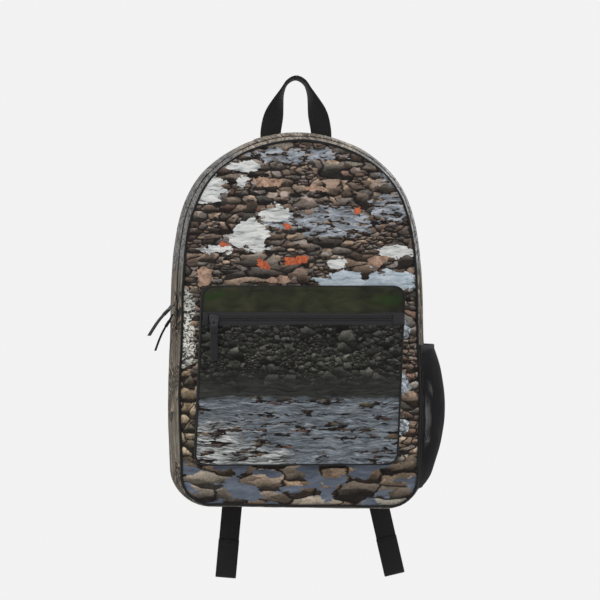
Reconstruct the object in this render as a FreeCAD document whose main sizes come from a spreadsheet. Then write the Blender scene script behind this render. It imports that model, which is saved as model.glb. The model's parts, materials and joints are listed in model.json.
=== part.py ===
import FreeCAD, Part
import Sketcher
import math
import os
import re

# A zip-round day backpack, hanging by its grab handle. The front pocket faces -Y, the mesh bottle
# pocket is on the +X side and +Z is up. Heights in the sheet count from the bag's base, and every
# sub-part's Placement then lowers it by hang_height, so that the row's origin is where a hook bears
# on the inside of the grab handle.

DIMENSIONS = {
    # body: an arch-topped bag, widest over its rear half
    "bag_height": 450, "half_width": 151, "corner_radius": 46, "hang_height": 518,
    "front_y": -98, "bulge_start_y": -82, "bulge_end_y": -62, "full_width_y": -44, "rear_y": 20.5,
    "seam_inset": 14, "zip_inset": 7, "base_share": 0.5, "fabric": 1.6, "clear_gap": 0.1,
    # back panel stack and seam bindings
    "panel_thick": 1.5, "foam_thick": 6, "lining_thick": 1, "foam_inset": 2.5, "binding_width": 3.5,
    "binding_thick": 1.8,
    # main zip round the arch, and the fold line of the opening front
    "zip_y": -72, "zip_opening": 4, "tape_width": 7.4, "tape_thick": 0.8, "coil_rise": 1.4,
    "coil_half": 2.4, "zip_split": 0.6, "zip_low": 215, "fold_height": 269.5, "fold_gap": 1,
    "stop_height": 3,
    # bottom board and laptop sleeve
    "board_half": 100, "board_thick": 3, "board_front": -46, "board_rear": 10, "board_radius": 3,
    "sleeve_half": 118, "sleeve_low": 52, "sleeve_high": 318, "sleeve_front": 2, "sleeve_wall": 1.6,
    "binding_rise": 5, "strap_tab_half": 15, "strap_tab_drop": 34,
    # front pocket
    "pocket_half": 119, "pocket_shift": 3.5, "pocket_low": 56, "pocket_high": 265,
    "pocket_depth": 24, "pocket_radius": 14, "pocket_wall": 1.4, "pocket_zip": 227,
    "pocket_opening": 6.5, "pocket_tape": 12,
    # zip sliders and pulls
    "slider_length": 10.5, "slider_width": 11, "slider_plate": 1.6, "slider_neck": 0.7,
    "slider_lower": 227, "slider_upper": 238.5, "pocket_slider_x": -102,
    "tab_length": 9, "tab_thick": 0.9, "eye_radius": 1.4, "pull_gap": 2.6,
    "ribbon_length": 40, "ribbon_width": 8.5, "ribbon_thick": 1.2, "collar_length": 9,
    "pull_lean_lower": 27, "pull_lean_upper": 41, "pull_yaw_lower": -12, "pull_yaw_upper": 26,
    # side mesh pocket
    "mesh_low": 26, "mesh_high": 196, "mesh_bulge": 22, "mesh_front": -92, "mesh_rear": 14,
    "mesh_thick": 1.5, "hem_height": 10, "mesh_lip": 7.5, "mesh_foot": 5,
    # grab handle
    "webbing": 25, "webbing_thick": 2, "handle_foot": 30.5, "handle_top_half": 17,
    "handle_pivot": 452, "handle_tab": 20, "handle_shoulder": 503, "patch_half": 52, "patch_depth": 16,
    # shoulder straps
    "strap_pivot": 410, "strap_top_x": 45, "strap_lean_left": 4, "strap_lean_right": 6.5,
    "pad_width": 60, "pad_thick": 12,
    "pad_start_y": 28, "pad_mid_y": 50, "pad_end_y": 37, "pad_top": 404, "pad_low": 128,
    "yoke_half": 78, "yoke_low": 409, "yoke_high": 425, "yoke_depth": 4,
    "lock_width": 33, "lock_high": 118, "lock_low": 97, "lock_thick": 7, "lock_bar": 3,
    "tail_y": 49, "tail_top": 106, "tail_end": -94, "hem_length": 47,
    "tail_lean_left": 5.2, "tail_lean_right": 13,
    "anchor_x": 119, "anchor_low": 12, "anchor_high": 34, "anchor_half": 17, "anchor_depth": 4,
    "anchor_gap": 8,
    "webbing_top_y": 36, "webbing_low_y": 24.5,
}

WORD = re.compile(r"[a-z_]+")
ROLES = {"XZ": "XZ_Plane", "YZ": "YZ_Plane", "XY": "XY_Plane"}
WIDE = ("-2 * half_width", "2 * half_width")
SIDES = {"left": -1, "right": 1}

doc = FreeCAD.newDocument("backpack")
sheet = doc.addObject("Spreadsheet::Sheet", "dims")
for row, (alias, number) in enumerate(DIMENSIONS.items(), start=1):
    sheet.set(f"A{row}", str(number))
    sheet.setAlias(f"A{row}", alias)
doc.recompute()

parts = {}
envelopes = {}


def bound(formula):
    """The formula with each sheet alias made into a reference to its cell."""
    return WORD.sub(lambda word: "dims." + word[0] if word[0] in DIMENSIONS else word[0], formula)


def bind(obj, name, formula):
    obj.setExpression(name, bound(formula))


def value(formula):
    """The formula's number, for features that take no expression."""
    return float(sheet.evalExpression(bound(formula)))


def keep(label, obj):
    """Makes obj a sub-part and hangs it from the row's origin."""
    obj.Label = label
    bind(obj, "Placement.Base.z", "-hang_height")
    parts[label] = obj
    return obj


def keep_leaned(label, obj, x, pivot, lean):
    """Makes obj, drawn about its own pivot, a sub-part that leans sideways in the XZ plane."""
    obj.Label = label
    obj.Placement.Rotation = FreeCAD.Rotation(FreeCAD.Vector(0, 1, 0), lean)
    bind(obj, "Placement.Base.x", x)
    bind(obj, "Placement.Base.z", f"{pivot} - hang_height")
    parts[label] = obj
    return obj


def box(x, y, z):
    """A block between the given pairs of formulas."""
    block = doc.addObject("Part::Box", "block")
    for axis, size, (low, high) in zip("xyz", ("Length", "Width", "Height"), (x, y, z)):
        bind(block, f"Placement.Base.{axis}", low)
        bind(block, size, f"({high}) - ({low})")
    return block


def combine(kind, base, tool):
    result = doc.addObject(f"Part::{kind}", kind.lower())
    result.Base = base
    result.Tool = tool
    return result


def fuse(shapes):
    if len(shapes) == 1:
        return shapes[0]
    result = doc.addObject("Part::MultiFuse", "fuse")
    result.Shapes = shapes
    return result


def sketch_on(body, plane, offset):
    """A sketch on the body's own origin plane, moved along that plane's normal."""
    sketch = body.newObject("Sketcher::SketchObject", "outline")
    origin_plane = next(f for f in body.Origin.OriginFeatures if f.Role == ROLES[plane])
    sketch.AttachmentSupport = (origin_plane, "")
    sketch.MapMode = "FlatFace"
    bind(sketch, "AttachmentOffset.Base.z", offset)
    return sketch


def limit(sketch, kind, geometry, formula):
    """Adds a dimension that follows the sheet."""
    number = sketch.addConstraint(Sketcher.Constraint(kind, *geometry, value(formula)))
    bind(sketch, f"Constraints[{number}]", formula)


def arch_outline(body, y, inset):
    """The bag's outline in the XZ plane at depth y: a half round top, straight sides, round corners."""
    sketch = sketch_on(body, "XZ", f"-({y})")
    half = value(f"half_width - ({inset})")
    corner = value(f"corner_radius - ({inset})")
    centre = value("bag_height - half_width")
    base = value(f"base_share * ({inset})")
    up = FreeCAD.Vector(0, 0, 1)
    point = FreeCAD.Vector
    quarter = math.pi / 2
    right_corner = Part.Circle(point(half - corner, base + corner), up, corner)
    left_corner = Part.Circle(point(corner - half, base + corner), up, corner)
    sketch.addGeometry([
        Part.LineSegment(point(corner - half, base), point(half - corner, base)),
        Part.ArcOfCircle(right_corner, -quarter, 0),
        Part.LineSegment(point(half, base + corner), point(half, centre)),
        Part.ArcOfCircle(Part.Circle(point(0, centre), up, half), 0, math.pi),
        Part.LineSegment(point(-half, centre), point(-half, base + corner)),
        Part.ArcOfCircle(left_corner, math.pi, math.pi + quarter),
    ], False)
    edges = 6
    sketch.addConstraint([
        Sketcher.Constraint("Tangent", edge, 2, (edge + 1) % edges, 1) for edge in range(edges)
    ])
    sketch.addConstraint(Sketcher.Constraint("PointOnObject", 3, 3, -2))
    sketch.addConstraint(Sketcher.Constraint("Horizontal", 0))
    sketch.addConstraint(Sketcher.Constraint("Equal", 1, 5))
    limit(sketch, "Radius", (3,), f"half_width - ({inset})")
    limit(sketch, "Radius", (1,), f"corner_radius - ({inset})")
    limit(sketch, "DistanceY", (-1, 1, 3, 3), "bag_height - half_width")
    limit(sketch, "DistanceY", (-1, 1, 0, 1), f"base_share * ({inset})")
    return sketch


def envelope(inset):
    """The whole bag as one block, set in all round by inset. Shells are cut from pairs of these."""
    if inset not in envelopes:
        body = doc.addObject("PartDesign::Body", "envelope")
        stations = (("front_y", "seam_inset"), ("bulge_start_y", "zip_inset"),
                    ("bulge_end_y", "zip_inset"), ("full_width_y", "0"), ("rear_y", "0"))
        sections = [arch_outline(body, y, f"{at} + ({inset})") for y, at in stations]
        loft = body.newObject("PartDesign::AdditiveLoft", "bulge")
        loft.Profile = sections[0]
        loft.Sections = sections[1:]
        loft.Ruled = True
        envelopes[inset] = body
    return envelopes[inset]


def wall(label, outer, inner, *regions):
    """A piece of the bag's skin between two insets, inside one or more blocks."""
    shell = combine("Cut", envelope(outer), envelope(inner))
    return keep(label, combine("Common", shell, fuse([box(*region) for region in regions])))


def arch_slab(inset, rear, thick):
    """A flat panel in the bag's outline, from depth rear forwards."""
    body = doc.addObject("PartDesign::Body", "panel")
    pad = body.newObject("PartDesign::Pad", "slab")
    pad.Profile = arch_outline(body, rear, inset)
    bind(pad, "Length", thick)
    return body


def arch_ring(inset, width, rear, thick):
    return combine("Cut", arch_slab(inset, rear, thick),
                   arch_slab(f"{inset} + {width}", rear, thick))


def edges_along(shape, axis):
    """Names of the straight edges that run along an axis."""
    names = []
    for number, edge in enumerate(shape.Edges, start=1):
        run = edge.Vertexes[-1].Point - edge.Vertexes[0].Point
        if run.Length and abs(abs(run.normalize().dot(axis)) - 1) < Part.Precision.confusion():
            names.append(f"Edge{number}")
    return names


def block_body(x, y, z):
    """A block between the given pairs of formulas, as a body with a Placement of its own."""
    body = doc.addObject("PartDesign::Body", "strip")
    block = body.newObject("PartDesign::AdditiveBox", "block")
    for name, size, (low, high) in zip("xyz", ("Length", "Width", "Height"), (x, y, z)):
        bind(block, f"Placement.Base.{name}", low)
        bind(block, size, f"({high}) - ({low})")
    return body


def rounded_block(x, y, z, radius, axis):
    """A block whose four edges along an axis are rounded."""
    body = block_body(x, y, z)
    block = body.Tip
    doc.recompute()
    fillet = body.newObject("PartDesign::Fillet", "corners")
    fillet.Base = (block, edges_along(block.Shape, axis))
    bind(fillet, "Radius", radius)
    doc.recompute()
    return body


def band(path, turn, thick, width, normal):
    """A flat strip: a path of lines and arcs, given thickness in its plane and width across it."""
    line = doc.addObject("Sketcher::SketchObject", "route")
    line.Placement = FreeCAD.Placement(FreeCAD.Vector(), turn)
    line.addGeometry(path, False)
    side = doc.addObject("Part::Offset2D", "thickness")
    side.Source = line
    side.Mode = 0
    side.Join = 0
    side.Fill = True
    bind(side, "Value", thick)
    strip = doc.addObject("Part::Extrusion", "strip")
    strip.Base = side
    strip.DirMode = "Custom"
    strip.Dir = normal
    strip.Symmetric = True
    strip.Solid = True
    bind(strip, "LengthFwd", width)
    return strip


X_AXIS = FreeCAD.Vector(1, 0, 0)
Y_AXIS = FreeCAD.Vector(0, 1, 0)
Z_AXIS = FreeCAD.Vector(0, 0, 1)
FACE_FRONT = FreeCAD.Rotation(X_AXIS, 90)
FACE_SIDE = FreeCAD.Rotation(FreeCAD.Vector(1, 1, 1), 120)


def back_panel_stack():
    keep("back_panel", arch_slab("fabric", "rear_y + panel_thick", "panel_thick"))
    keep("back_foam", arch_slab("foam_inset", "rear_y - clear_gap", "foam_thick"))
    lining_rear = "rear_y - 2 * clear_gap - foam_thick"
    keep("back_lining", arch_slab("foam_inset", lining_rear, "lining_thick"))
    keep("seam_binding_rear", arch_ring(
        "foam_inset", "binding_width", f"{lining_rear} - lining_thick", "binding_thick"))


def gussets():
    above_fold = ("fold_height", "bag_height")
    below_fold = ("-fabric", "fold_height - fold_gap")
    front_band = ("front_y", "zip_y - zip_opening")
    wall("front_gusset_upper", "0", "fabric", (WIDE, front_band, above_fold))
    wall("rear_gusset", "0", "fabric",
         (WIDE, ("zip_y + zip_opening", "rear_y"), ("zip_low", "bag_height")))
    wall("lower_gusset", "0", "fabric",
         (WIDE, ("front_y", "rear_y"), ("-fabric", "zip_low - clear_gap")),
         (WIDE, front_band, below_fold))


def front_panels():
    """The printed front, folded along a line just above its pocket, and the binding behind it."""
    inset = "seam_inset + fabric + clear_gap"
    rear = "front_y + fabric"
    upper = (WIDE, ("front_y - fabric", "0"), ("fold_height", "bag_height"))
    lower = (WIDE, ("front_y - fabric", "0"), ("-fabric", "fold_height - fold_gap"))
    for name, region in (("upper", upper), ("lower", lower)):
        keep(f"front_panel_{name}",
             combine("Common", arch_slab(inset, rear, "fabric"), box(*region)))
        ring = arch_ring(inset, "binding_width", f"{rear} + clear_gap + binding_thick", "binding_thick")
        keep(f"seam_binding_front_{name}", combine("Common", ring, box(*region)))


def main_zip():
    """Two tapes sewn under the gusset edges, each with its half of the coil on top."""
    tape_top = "fabric + clear_gap"
    tape_base = "fabric + clear_gap + tape_thick"
    front_tape = ("zip_y - zip_split - tape_width", "zip_y - zip_split")
    rear_tape = ("zip_y + zip_split", "zip_y + zip_split + tape_width")
    front_coil = ("zip_y - zip_split - coil_half", "zip_y - zip_split")
    rear_coil = ("zip_y + zip_split", "zip_y + zip_split + coil_half")
    coil_top = "fabric - coil_rise"
    upper = ("fold_height", "bag_height")
    stub = ("zip_low", "fold_height - fold_gap")
    whole = ("zip_low", "bag_height")
    wall("main_zip_tape_rear", tape_top, tape_base, (WIDE, rear_tape, whole))
    wall("main_zip_coil_rear", coil_top, "fabric", (WIDE, rear_coil, whole))
    for name, reach in (("upper", upper), ("lower", stub)):
        wall(f"main_zip_tape_front_{name}", tape_top, tape_base, (WIDE, front_tape, reach))
        wall(f"main_zip_coil_front_{name}", coil_top, "fabric", (WIDE, front_coil, reach))
    opening = ("zip_y - zip_opening + clear_gap", "zip_y + zip_opening - clear_gap")
    stops = ("zip_low - stop_height - clear_gap", "zip_low - clear_gap")
    wall("main_zip_end_stops", "-tape_thick", "-clear_gap", (WIDE, opening, stops))


def inside():
    """The stiffening board on the floor and the laptop sleeve against the back."""
    keep("bottom_board", rounded_block(
        ("-board_half", "board_half"), ("board_front", "board_rear"),
        ("fabric + clear_gap", "fabric + clear_gap + board_thick"), "board_radius", Z_AXIS))
    lining_front = "rear_y - 3 * clear_gap - foam_thick - lining_thick"
    outer = box(("-sleeve_half", "sleeve_half"), ("sleeve_front", lining_front),
                ("sleeve_low", "sleeve_high"))
    room = box(("sleeve_wall - sleeve_half", "sleeve_half - sleeve_wall"),
               ("sleeve_front + sleeve_wall", "rear_y"), ("sleeve_low + sleeve_wall", "bag_height"))
    keep("laptop_sleeve", combine("Cut", outer, room))
    keep("sleeve_binding", block_body(
        ("-sleeve_half", "sleeve_half"), ("sleeve_front", "sleeve_front + sleeve_wall"),
        ("sleeve_high + clear_gap", "sleeve_high + binding_rise")))
    keep("sleeve_strap", block_body(
        ("-strap_tab_half", "strap_tab_half"), ("sleeve_front - sleeve_wall", "sleeve_front - clear_gap"),
        ("sleeve_high - strap_tab_drop", "sleeve_high + binding_rise")))


def pocket_sides(inset):
    """The front pocket's left and right edges, set in by inset."""
    return (f"pocket_shift - pocket_half + ({inset})", f"pocket_shift + pocket_half - ({inset})")


def front_pocket():
    """A box pocket on the front panel: a rim, a face below its zip and a hood above it."""
    face_y = ("front_y - pocket_depth", "front_y - pocket_depth + pocket_wall")
    rim_y = ("front_y - pocket_depth + pocket_wall + clear_gap", "front_y - clear_gap")
    x = pocket_sides("0")
    z = ("pocket_low", "pocket_high")
    face = rounded_block(x, face_y, z, "pocket_radius", Y_AXIS)
    low = ("pocket_low", "pocket_zip - pocket_opening")
    high = ("pocket_zip + pocket_opening", "pocket_high")
    keep("pocket_panel", combine("Common", face, box(x, face_y, low)))
    keep("pocket_hood", combine("Common", face, box(x, face_y, high)))
    inner_z = ("pocket_low + pocket_wall", "pocket_high - pocket_wall")
    rim = combine("Cut", rounded_block(x, rim_y, z, "pocket_radius", Y_AXIS),
                  rounded_block(pocket_sides("pocket_wall"), rim_y, inner_z,
                                "pocket_radius - pocket_wall", Y_AXIS))
    keep("pocket_gusset", rim)


def pocket_zip():
    tape_front = "front_y - pocket_depth + pocket_wall + clear_gap"
    tape_y = (tape_front, f"{tape_front} + tape_thick")
    coil_y = (f"{tape_front} - coil_rise", tape_front)
    reach = "pocket_wall + 2 * clear_gap"
    for name, sign in (("upper", "+"), ("lower", "-")):
        near = f"pocket_zip {sign} zip_split"
        ends = {"tape": f"pocket_zip {sign} pocket_tape",
                "coil": f"pocket_zip {sign} (zip_split + coil_half)"}
        for piece, y in (("tape", tape_y), ("coil", coil_y)):
            z = (near, ends[piece]) if sign == "+" else (ends[piece], near)
            keep(f"pocket_zip_{piece}_{name}", block_body(pocket_sides(reach), y, z))
    keep("pocket_zip_end_tab", block_body(
        ("pocket_shift + pocket_half - 2 * pocket_opening - fabric", "pocket_shift + pocket_half"),
        ("front_y - pocket_depth - pocket_wall", "front_y - pocket_depth - clear_gap"),
        ("pocket_zip - pocket_opening", "pocket_zip + pocket_opening")))


def slider(along, across, out):
    """The blocks of a zip slider: two plates joined by a neck that runs in the split between the coils.

    along and across are pairs of formulas in the zip's plane. out holds the levels of the outer
    plate's face and back and the inner plate's face and back, from the outside inwards.
    """
    face, back, inner_face, inner_back = out
    middle = f"(({across[0]}) + ({across[1]})) / 2"
    neck = (f"{middle} - slider_neck / 2", f"{middle} + slider_neck / 2")
    third = f"(({along[1]}) - ({along[0]})) / 3"
    neck_run = (f"{along[0]} + {third}", f"{along[1]} - {third}")
    bail = (f"{middle} - 2 * slider_plate", f"{middle} + 2 * slider_plate")
    return [(along, across, (face, back)), (along, across, (inner_face, inner_back)),
            (neck_run, neck, (back, inner_face)),
            (neck_run, bail, (f"{face} - slider_plate", face))]


def main_sliders():
    """Two sliders, nose to nose at the foot of the zip's left leg."""
    skin = "zip_inset - half_width"
    levels = (f"{skin} - clear_gap - slider_plate", f"{skin} - clear_gap",
              f"{skin} + fabric + 2 * clear_gap + tape_thick",
              f"{skin} + fabric + 2 * clear_gap + tape_thick + slider_plate")
    across = ("zip_y - slider_width / 2", "zip_y + slider_width / 2")
    for name in ("lower", "upper"):
        run = (f"slider_{name}", f"slider_{name} + slider_length")
        keep(f"main_slider_{name}", fuse([box(x, y, z) for z, y, x in slider(run, across, levels)]))


def pocket_slider():
    """The front pocket's slider, parked at the left end of its zip."""
    front = "front_y - pocket_depth"
    tape_front = f"{front} + pocket_wall + clear_gap"
    levels = (f"{front} - clear_gap - slider_plate", f"{front} - clear_gap",
              f"{tape_front} + tape_thick + clear_gap",
              f"{tape_front} + tape_thick + clear_gap + slider_plate")
    along = ("pocket_slider_x - slider_length / 2", "pocket_slider_x + slider_length / 2")
    across = ("pocket_zip - slider_width / 2", "pocket_zip + slider_width / 2")
    pieces = slider(along, across, levels)
    keep("pocket_slider", fuse([box(x, y, z) for x, z, y in pieces]))


def hang(label, shape, turn, place):
    """Makes shape, drawn hanging from its own pivot, a sub-part turned and placed at that pivot."""
    shape.Label = label
    shape.Placement.Rotation = turn
    for axis, formula in zip("xyz", place):
        bind(shape, f"Placement.Base.{axis}", formula)
    parts[label] = shape


def pull(prefix, turn, place):
    """A metal tab with an eye, and the ribbon sewn round its end with a doubled collar."""
    across = ("-ribbon_width / 2", "ribbon_width / 2")
    tab = box(("-tab_thick / 2", "tab_thick / 2"), across, ("-tab_length", "0"))
    eye = doc.addObject("Part::Cylinder", "eye")
    bind(eye, "Radius", "eye_radius")
    bind(eye, "Height", "ribbon_width")
    eye.Placement.Rotation = FreeCAD.Rotation(Y_AXIS, 90)
    bind(eye, "Placement.Base.x", "-ribbon_width / 2")
    bind(eye, "Placement.Base.z", "-tab_length / 2")
    hang(f"{prefix}_tab", combine("Cut", tab, eye), turn, place)
    top = "-tab_length - clear_gap"
    ribbon = box(("-ribbon_thick / 2", "ribbon_thick / 2"), across, (f"{top} - ribbon_length", top))
    collar = box(("-ribbon_thick", "ribbon_thick"), across, (f"{top} - collar_length", top))
    hang(f"{prefix}_ribbon", fuse([ribbon, collar]), turn, place)


def pulls():
    outer = "zip_inset - half_width - 2 * slider_plate - pull_gap"
    for name in ("lower", "upper"):
        turn = (FreeCAD.Rotation(Z_AXIS, value(f"pull_yaw_{name}"))
                * FreeCAD.Rotation(Y_AXIS, value(f"pull_lean_{name}")))
        height = f"slider_{name} + slider_length / 2 - hang_height"
        pull(f"main_pull_{name}", turn, (outer, "zip_y", height))
    front = "front_y - pocket_depth - 2 * slider_plate - pull_gap"
    pull("pocket_pull", FreeCAD.Rotation(Z_AXIS, 90),
         ("pocket_slider_x", front, "pocket_zip - hang_height"))


def mesh_lump(grow, top):
    """The bottle pocket's bulging outline as a block, grown by grow."""
    point = FreeCAD.Vector
    side = value("half_width")
    low = value(f"mesh_low - ({grow})")
    high = value(top)
    lip = point(side + value(f"mesh_lip + ({grow})"), high)
    belly = point(side + value(f"mesh_bulge + ({grow})"), (low + high) / 2)
    foot = point(side - value("mesh_foot") + value(grow), low)
    heel = point(0, low)
    crown = point(0, high)
    profile = doc.addObject("Sketcher::SketchObject", "bulge")
    profile.Placement = FreeCAD.Placement(point(), FACE_FRONT)
    profile.addGeometry([
        Part.LineSegment(crown, lip), Part.Arc(lip, belly, foot),
        Part.LineSegment(foot, heel), Part.LineSegment(heel, crown),
    ], False)
    block = doc.addObject("Part::Extrusion", "bulge")
    block.Base = profile
    block.DirMode = "Custom"
    block.Dir = Y_AXIS
    block.Solid = True
    bind(block, "LengthFwd", f"mesh_rear + ({grow})")
    bind(block, "LengthRev", f"({grow}) - mesh_front")
    return block


def side_pocket():
    """An open-topped mesh pocket on the bag's +X side, with an elastic hem round its mouth."""
    bag = envelope("-3 * clear_gap")
    over = "mesh_high + fabric"
    net = combine("Cut", mesh_lump("0", "mesh_high"), mesh_lump("-mesh_thick", over))
    keep("side_mesh_pocket", combine("Cut", net, bag))
    hem = combine("Cut", mesh_lump("clear_gap + mesh_thick", "mesh_high"),
                  mesh_lump("clear_gap", over))
    mouth = box(("0", "2 * half_width"), ("front_y", "rear_y"), ("mesh_high - hem_height", over))
    keep("mesh_pocket_hem", combine("Common", combine("Cut", hem, bag), mouth))


def grab_handle():
    """A loop of webbing that stands on two sewn feet. The hook bears on its inside."""
    wall("handle_patch", "-fabric", "-clear_gap",
         (("-patch_half", "patch_half"), ("-patch_depth", "patch_depth"),
          ("bag_height - half_width", "bag_height + 2 * fabric")))
    thick = ("-webbing_thick / 2", "webbing_thick / 2")
    tabs = []
    feet = []
    for side in ("-", ""):
        x = (f"{side}handle_foot - webbing / 2", f"{side}handle_foot + webbing / 2")
        tabs.append(box(x, thick, ("handle_pivot + fold_gap", "handle_pivot + webbing")))
        feet.append(box(x, thick, ("handle_pivot - webbing / 2", "handle_pivot - fold_gap / 2")))
    keep("handle_feet", combine("Cut", fuse(feet), envelope("-fabric - clear_gap")))
    shoulder = FreeCAD.Vector(value("handle_top_half"), value("handle_shoulder"))
    foot = FreeCAD.Vector(value("handle_foot"), value("handle_pivot"))
    start = foot + (shoulder - foot) * value("handle_tab / (handle_shoulder - handle_pivot)")
    crown = FreeCAD.Vector(0, value("hang_height"))

    def mirrored(point):
        return FreeCAD.Vector(-point.x, point.y)

    loop = band([
        Part.LineSegment(mirrored(start), mirrored(shoulder)),
        Part.Arc(mirrored(shoulder), crown, shoulder),
        Part.LineSegment(shoulder, start),
    ], FACE_FRONT, "webbing_thick", "webbing", Y_AXIS)
    keep("grab_handle", fuse([loop] + tabs))


def shoulder_straps():
    keep("shoulder_yoke", rounded_block(
        ("-yoke_half", "yoke_half"),
        ("rear_y + panel_thick + clear_gap", "rear_y + panel_thick + yoke_depth"),
        ("yoke_low", "yoke_high"), "yoke_depth", Y_AXIS))
    across = ("-webbing / 2", "webbing / 2")
    for name, side in SIDES.items():
        strap = (f"{side} * strap_top_x", "strap_pivot", -side * value(f"strap_lean_{name}"))
        pad_top = FreeCAD.Vector(value("pad_start_y"), value("pad_top - strap_pivot"))
        pad_mid = FreeCAD.Vector(value("pad_mid_y"), value("(pad_top + pad_low) / 2 - strap_pivot"))
        pad_end = FreeCAD.Vector(value("pad_end_y"), value("pad_low - strap_pivot"))
        pad = band([Part.Arc(pad_end, pad_mid, pad_top)], FACE_SIDE, "-pad_thick", "pad_width", X_AXIS)
        keep_leaned(f"strap_pad_{name}", pad, *strap)
        middle = "pad_end_y + pad_thick / 2"
        depth = (f"{middle} - webbing_thick / 2", f"{middle} + webbing_thick / 2")
        loop = box(across, depth, ("lock_high + webbing_thick - strap_pivot",
                                   "pad_low - lock_bar - strap_pivot"))
        keep_leaned(f"strap_loop_{name}", fuse([loop, loop_fold(depth)]), *strap)
        keep_leaned(f"ladder_lock_{name}", ladder_lock(middle), *strap)
        tail(name, side)
        lower_webbing(name, side)


def lock_x(name, side):
    """How far the leaned strap's ladder lock is from the bag's middle plane."""
    return f"{side} * (strap_top_x + (strap_pivot - tail_top) * tan(strap_lean_{name}))"


def loop_fold(depth):
    """The thicker fold where the strap's end loop goes round the ladder lock's bar."""
    return box(("-webbing / 2", "webbing / 2"), (f"{depth[0]} - fabric", f"{depth[1]} + fabric"),
               ("lock_high + webbing_thick - strap_pivot",
                "lock_high + 2 * webbing_thick - strap_pivot"))


def ladder_lock(middle):
    """A moulded adjuster: a frame with two slots between three bars."""
    y = (f"{middle} - lock_thick / 2", f"{middle} + lock_thick / 2")
    low = "lock_low - strap_pivot"
    high = "lock_high - strap_pivot"
    frame = rounded_block(("-lock_width / 2", "lock_width / 2"), y, (low, high), "lock_bar", Y_AXIS)
    slot_x = ("-webbing / 2 - clear_gap", "webbing / 2 + clear_gap")
    pitch = "(lock_high - lock_low - lock_bar) / 2"
    slots = [box(slot_x, y, (f"{low} + lock_bar + {step} * {pitch}", f"{low} + ({step} + 1) * {pitch}"))
             for step in range(2)]
    return combine("Cut", frame, fuse(slots))


def tail(name, side):
    """The strap's free end, with its last stretch folded back and stitched."""
    across = ("-webbing / 2", "webbing / 2")
    run = box(across, ("0", "webbing_thick"), ("tail_end - tail_top", "0"))
    hem = box(across, ("0", "2 * webbing_thick"),
              ("tail_end - tail_top", "tail_end - tail_top + hem_length"))
    strip = fuse([run, hem])
    keep_leaned(f"strap_tail_{name}", strip, lock_x(name, side), "tail_top",
                -side * value(f"tail_lean_{name}"))
    bind(strip, "Placement.Base.y", "tail_y")


def lower_webbing(name, side):
    """The fixed webbing between the adjuster and the tab sewn into the bag's bottom corner."""
    rear = "rear_y + panel_thick + clear_gap"
    centre = f"{side} * anchor_x"
    keep(f"strap_anchor_{name}", rounded_block(
        (f"{centre} - anchor_half", f"{centre} + anchor_half"), (rear, f"{rear} + anchor_depth"),
        ("anchor_low", "anchor_high"), "anchor_depth", Y_AXIS))
    top = FreeCAD.Vector(value(lock_x(name, side)), value("webbing_top_y"),
                         value("tail_top - hang_height"))
    foot = FreeCAD.Vector(side * value("anchor_x"), value("webbing_low_y"),
                          value("anchor_high + anchor_gap - hang_height"))
    strip = doc.addObject("Part::Box", "webbing")
    bind(strip, "Length", "webbing")
    bind(strip, "Width", "webbing_thick")
    strip.Height = (foot - top).Length
    turn = FreeCAD.Rotation(-Z_AXIS, foot - top)
    corner = FreeCAD.Vector(-value("webbing") / 2, -value("webbing_thick") / 2, -strip.Height.Value)
    strip.Placement = FreeCAD.Placement(top + turn.multVec(corner), turn)
    strip.Label = f"lower_webbing_{name}"
    parts[strip.Label] = strip


def check():
    """Stops before anything is written if an object failed or a sub-part isn't one good shape."""
    failed = [obj.Label for obj in doc.Objects if {"Invalid", "Error"} & set(obj.State)]
    poor = [label for label, obj in parts.items()
            if obj.Shape.isNull() or not obj.Shape.isValid() or not obj.Shape.Solids]
    if failed or poor:
        raise RuntimeError(f"failed objects {failed}, poor shapes {poor}")


for build in (back_panel_stack, gussets, front_panels, main_zip, inside, front_pocket, pocket_zip,
              main_sliders, pocket_slider, pulls, side_pocket, grab_handle, shoulder_straps):
    build()
doc.recompute()
check()

os.makedirs("parts", exist_ok=True)
for label, obj in parts.items():
    obj.Shape.exportStep(f"parts/{label}.step")
    print(label, len(obj.Shape.Solids), round(obj.Shape.Volume / 1000, 2), "cm3")
print(len(parts), "sub-parts")
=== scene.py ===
import bmesh
import bpy
import functools
import json
import math
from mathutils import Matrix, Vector, noise


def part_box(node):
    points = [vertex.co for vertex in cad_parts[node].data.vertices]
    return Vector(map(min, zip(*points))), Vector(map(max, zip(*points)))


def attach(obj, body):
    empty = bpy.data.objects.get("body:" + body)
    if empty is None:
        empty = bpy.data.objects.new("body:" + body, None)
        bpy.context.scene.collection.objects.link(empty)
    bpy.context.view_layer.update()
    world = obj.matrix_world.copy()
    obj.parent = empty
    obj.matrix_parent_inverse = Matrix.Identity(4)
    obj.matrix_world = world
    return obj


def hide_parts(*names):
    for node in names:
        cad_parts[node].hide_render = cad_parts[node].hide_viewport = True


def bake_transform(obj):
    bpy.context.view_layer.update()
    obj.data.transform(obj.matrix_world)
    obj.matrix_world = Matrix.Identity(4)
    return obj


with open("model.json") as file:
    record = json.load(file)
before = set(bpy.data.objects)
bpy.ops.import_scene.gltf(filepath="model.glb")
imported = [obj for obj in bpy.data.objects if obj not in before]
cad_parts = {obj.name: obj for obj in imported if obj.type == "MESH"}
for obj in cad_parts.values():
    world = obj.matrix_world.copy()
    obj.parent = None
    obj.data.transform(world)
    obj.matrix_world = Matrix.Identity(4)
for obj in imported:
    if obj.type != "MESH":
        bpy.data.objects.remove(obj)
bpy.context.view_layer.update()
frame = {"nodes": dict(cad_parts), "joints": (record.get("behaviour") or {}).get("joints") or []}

# ---------------------------------------------------------------- places, from the frame where it has them
BAG, FLAP = "bag", "front_flap"


@functools.cache
def corners(node):
    return tuple(tuple(corner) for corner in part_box(node))


def low(node):
    return Vector(corners(node)[0])


def high(node):
    return Vector(corners(node)[1])


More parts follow.
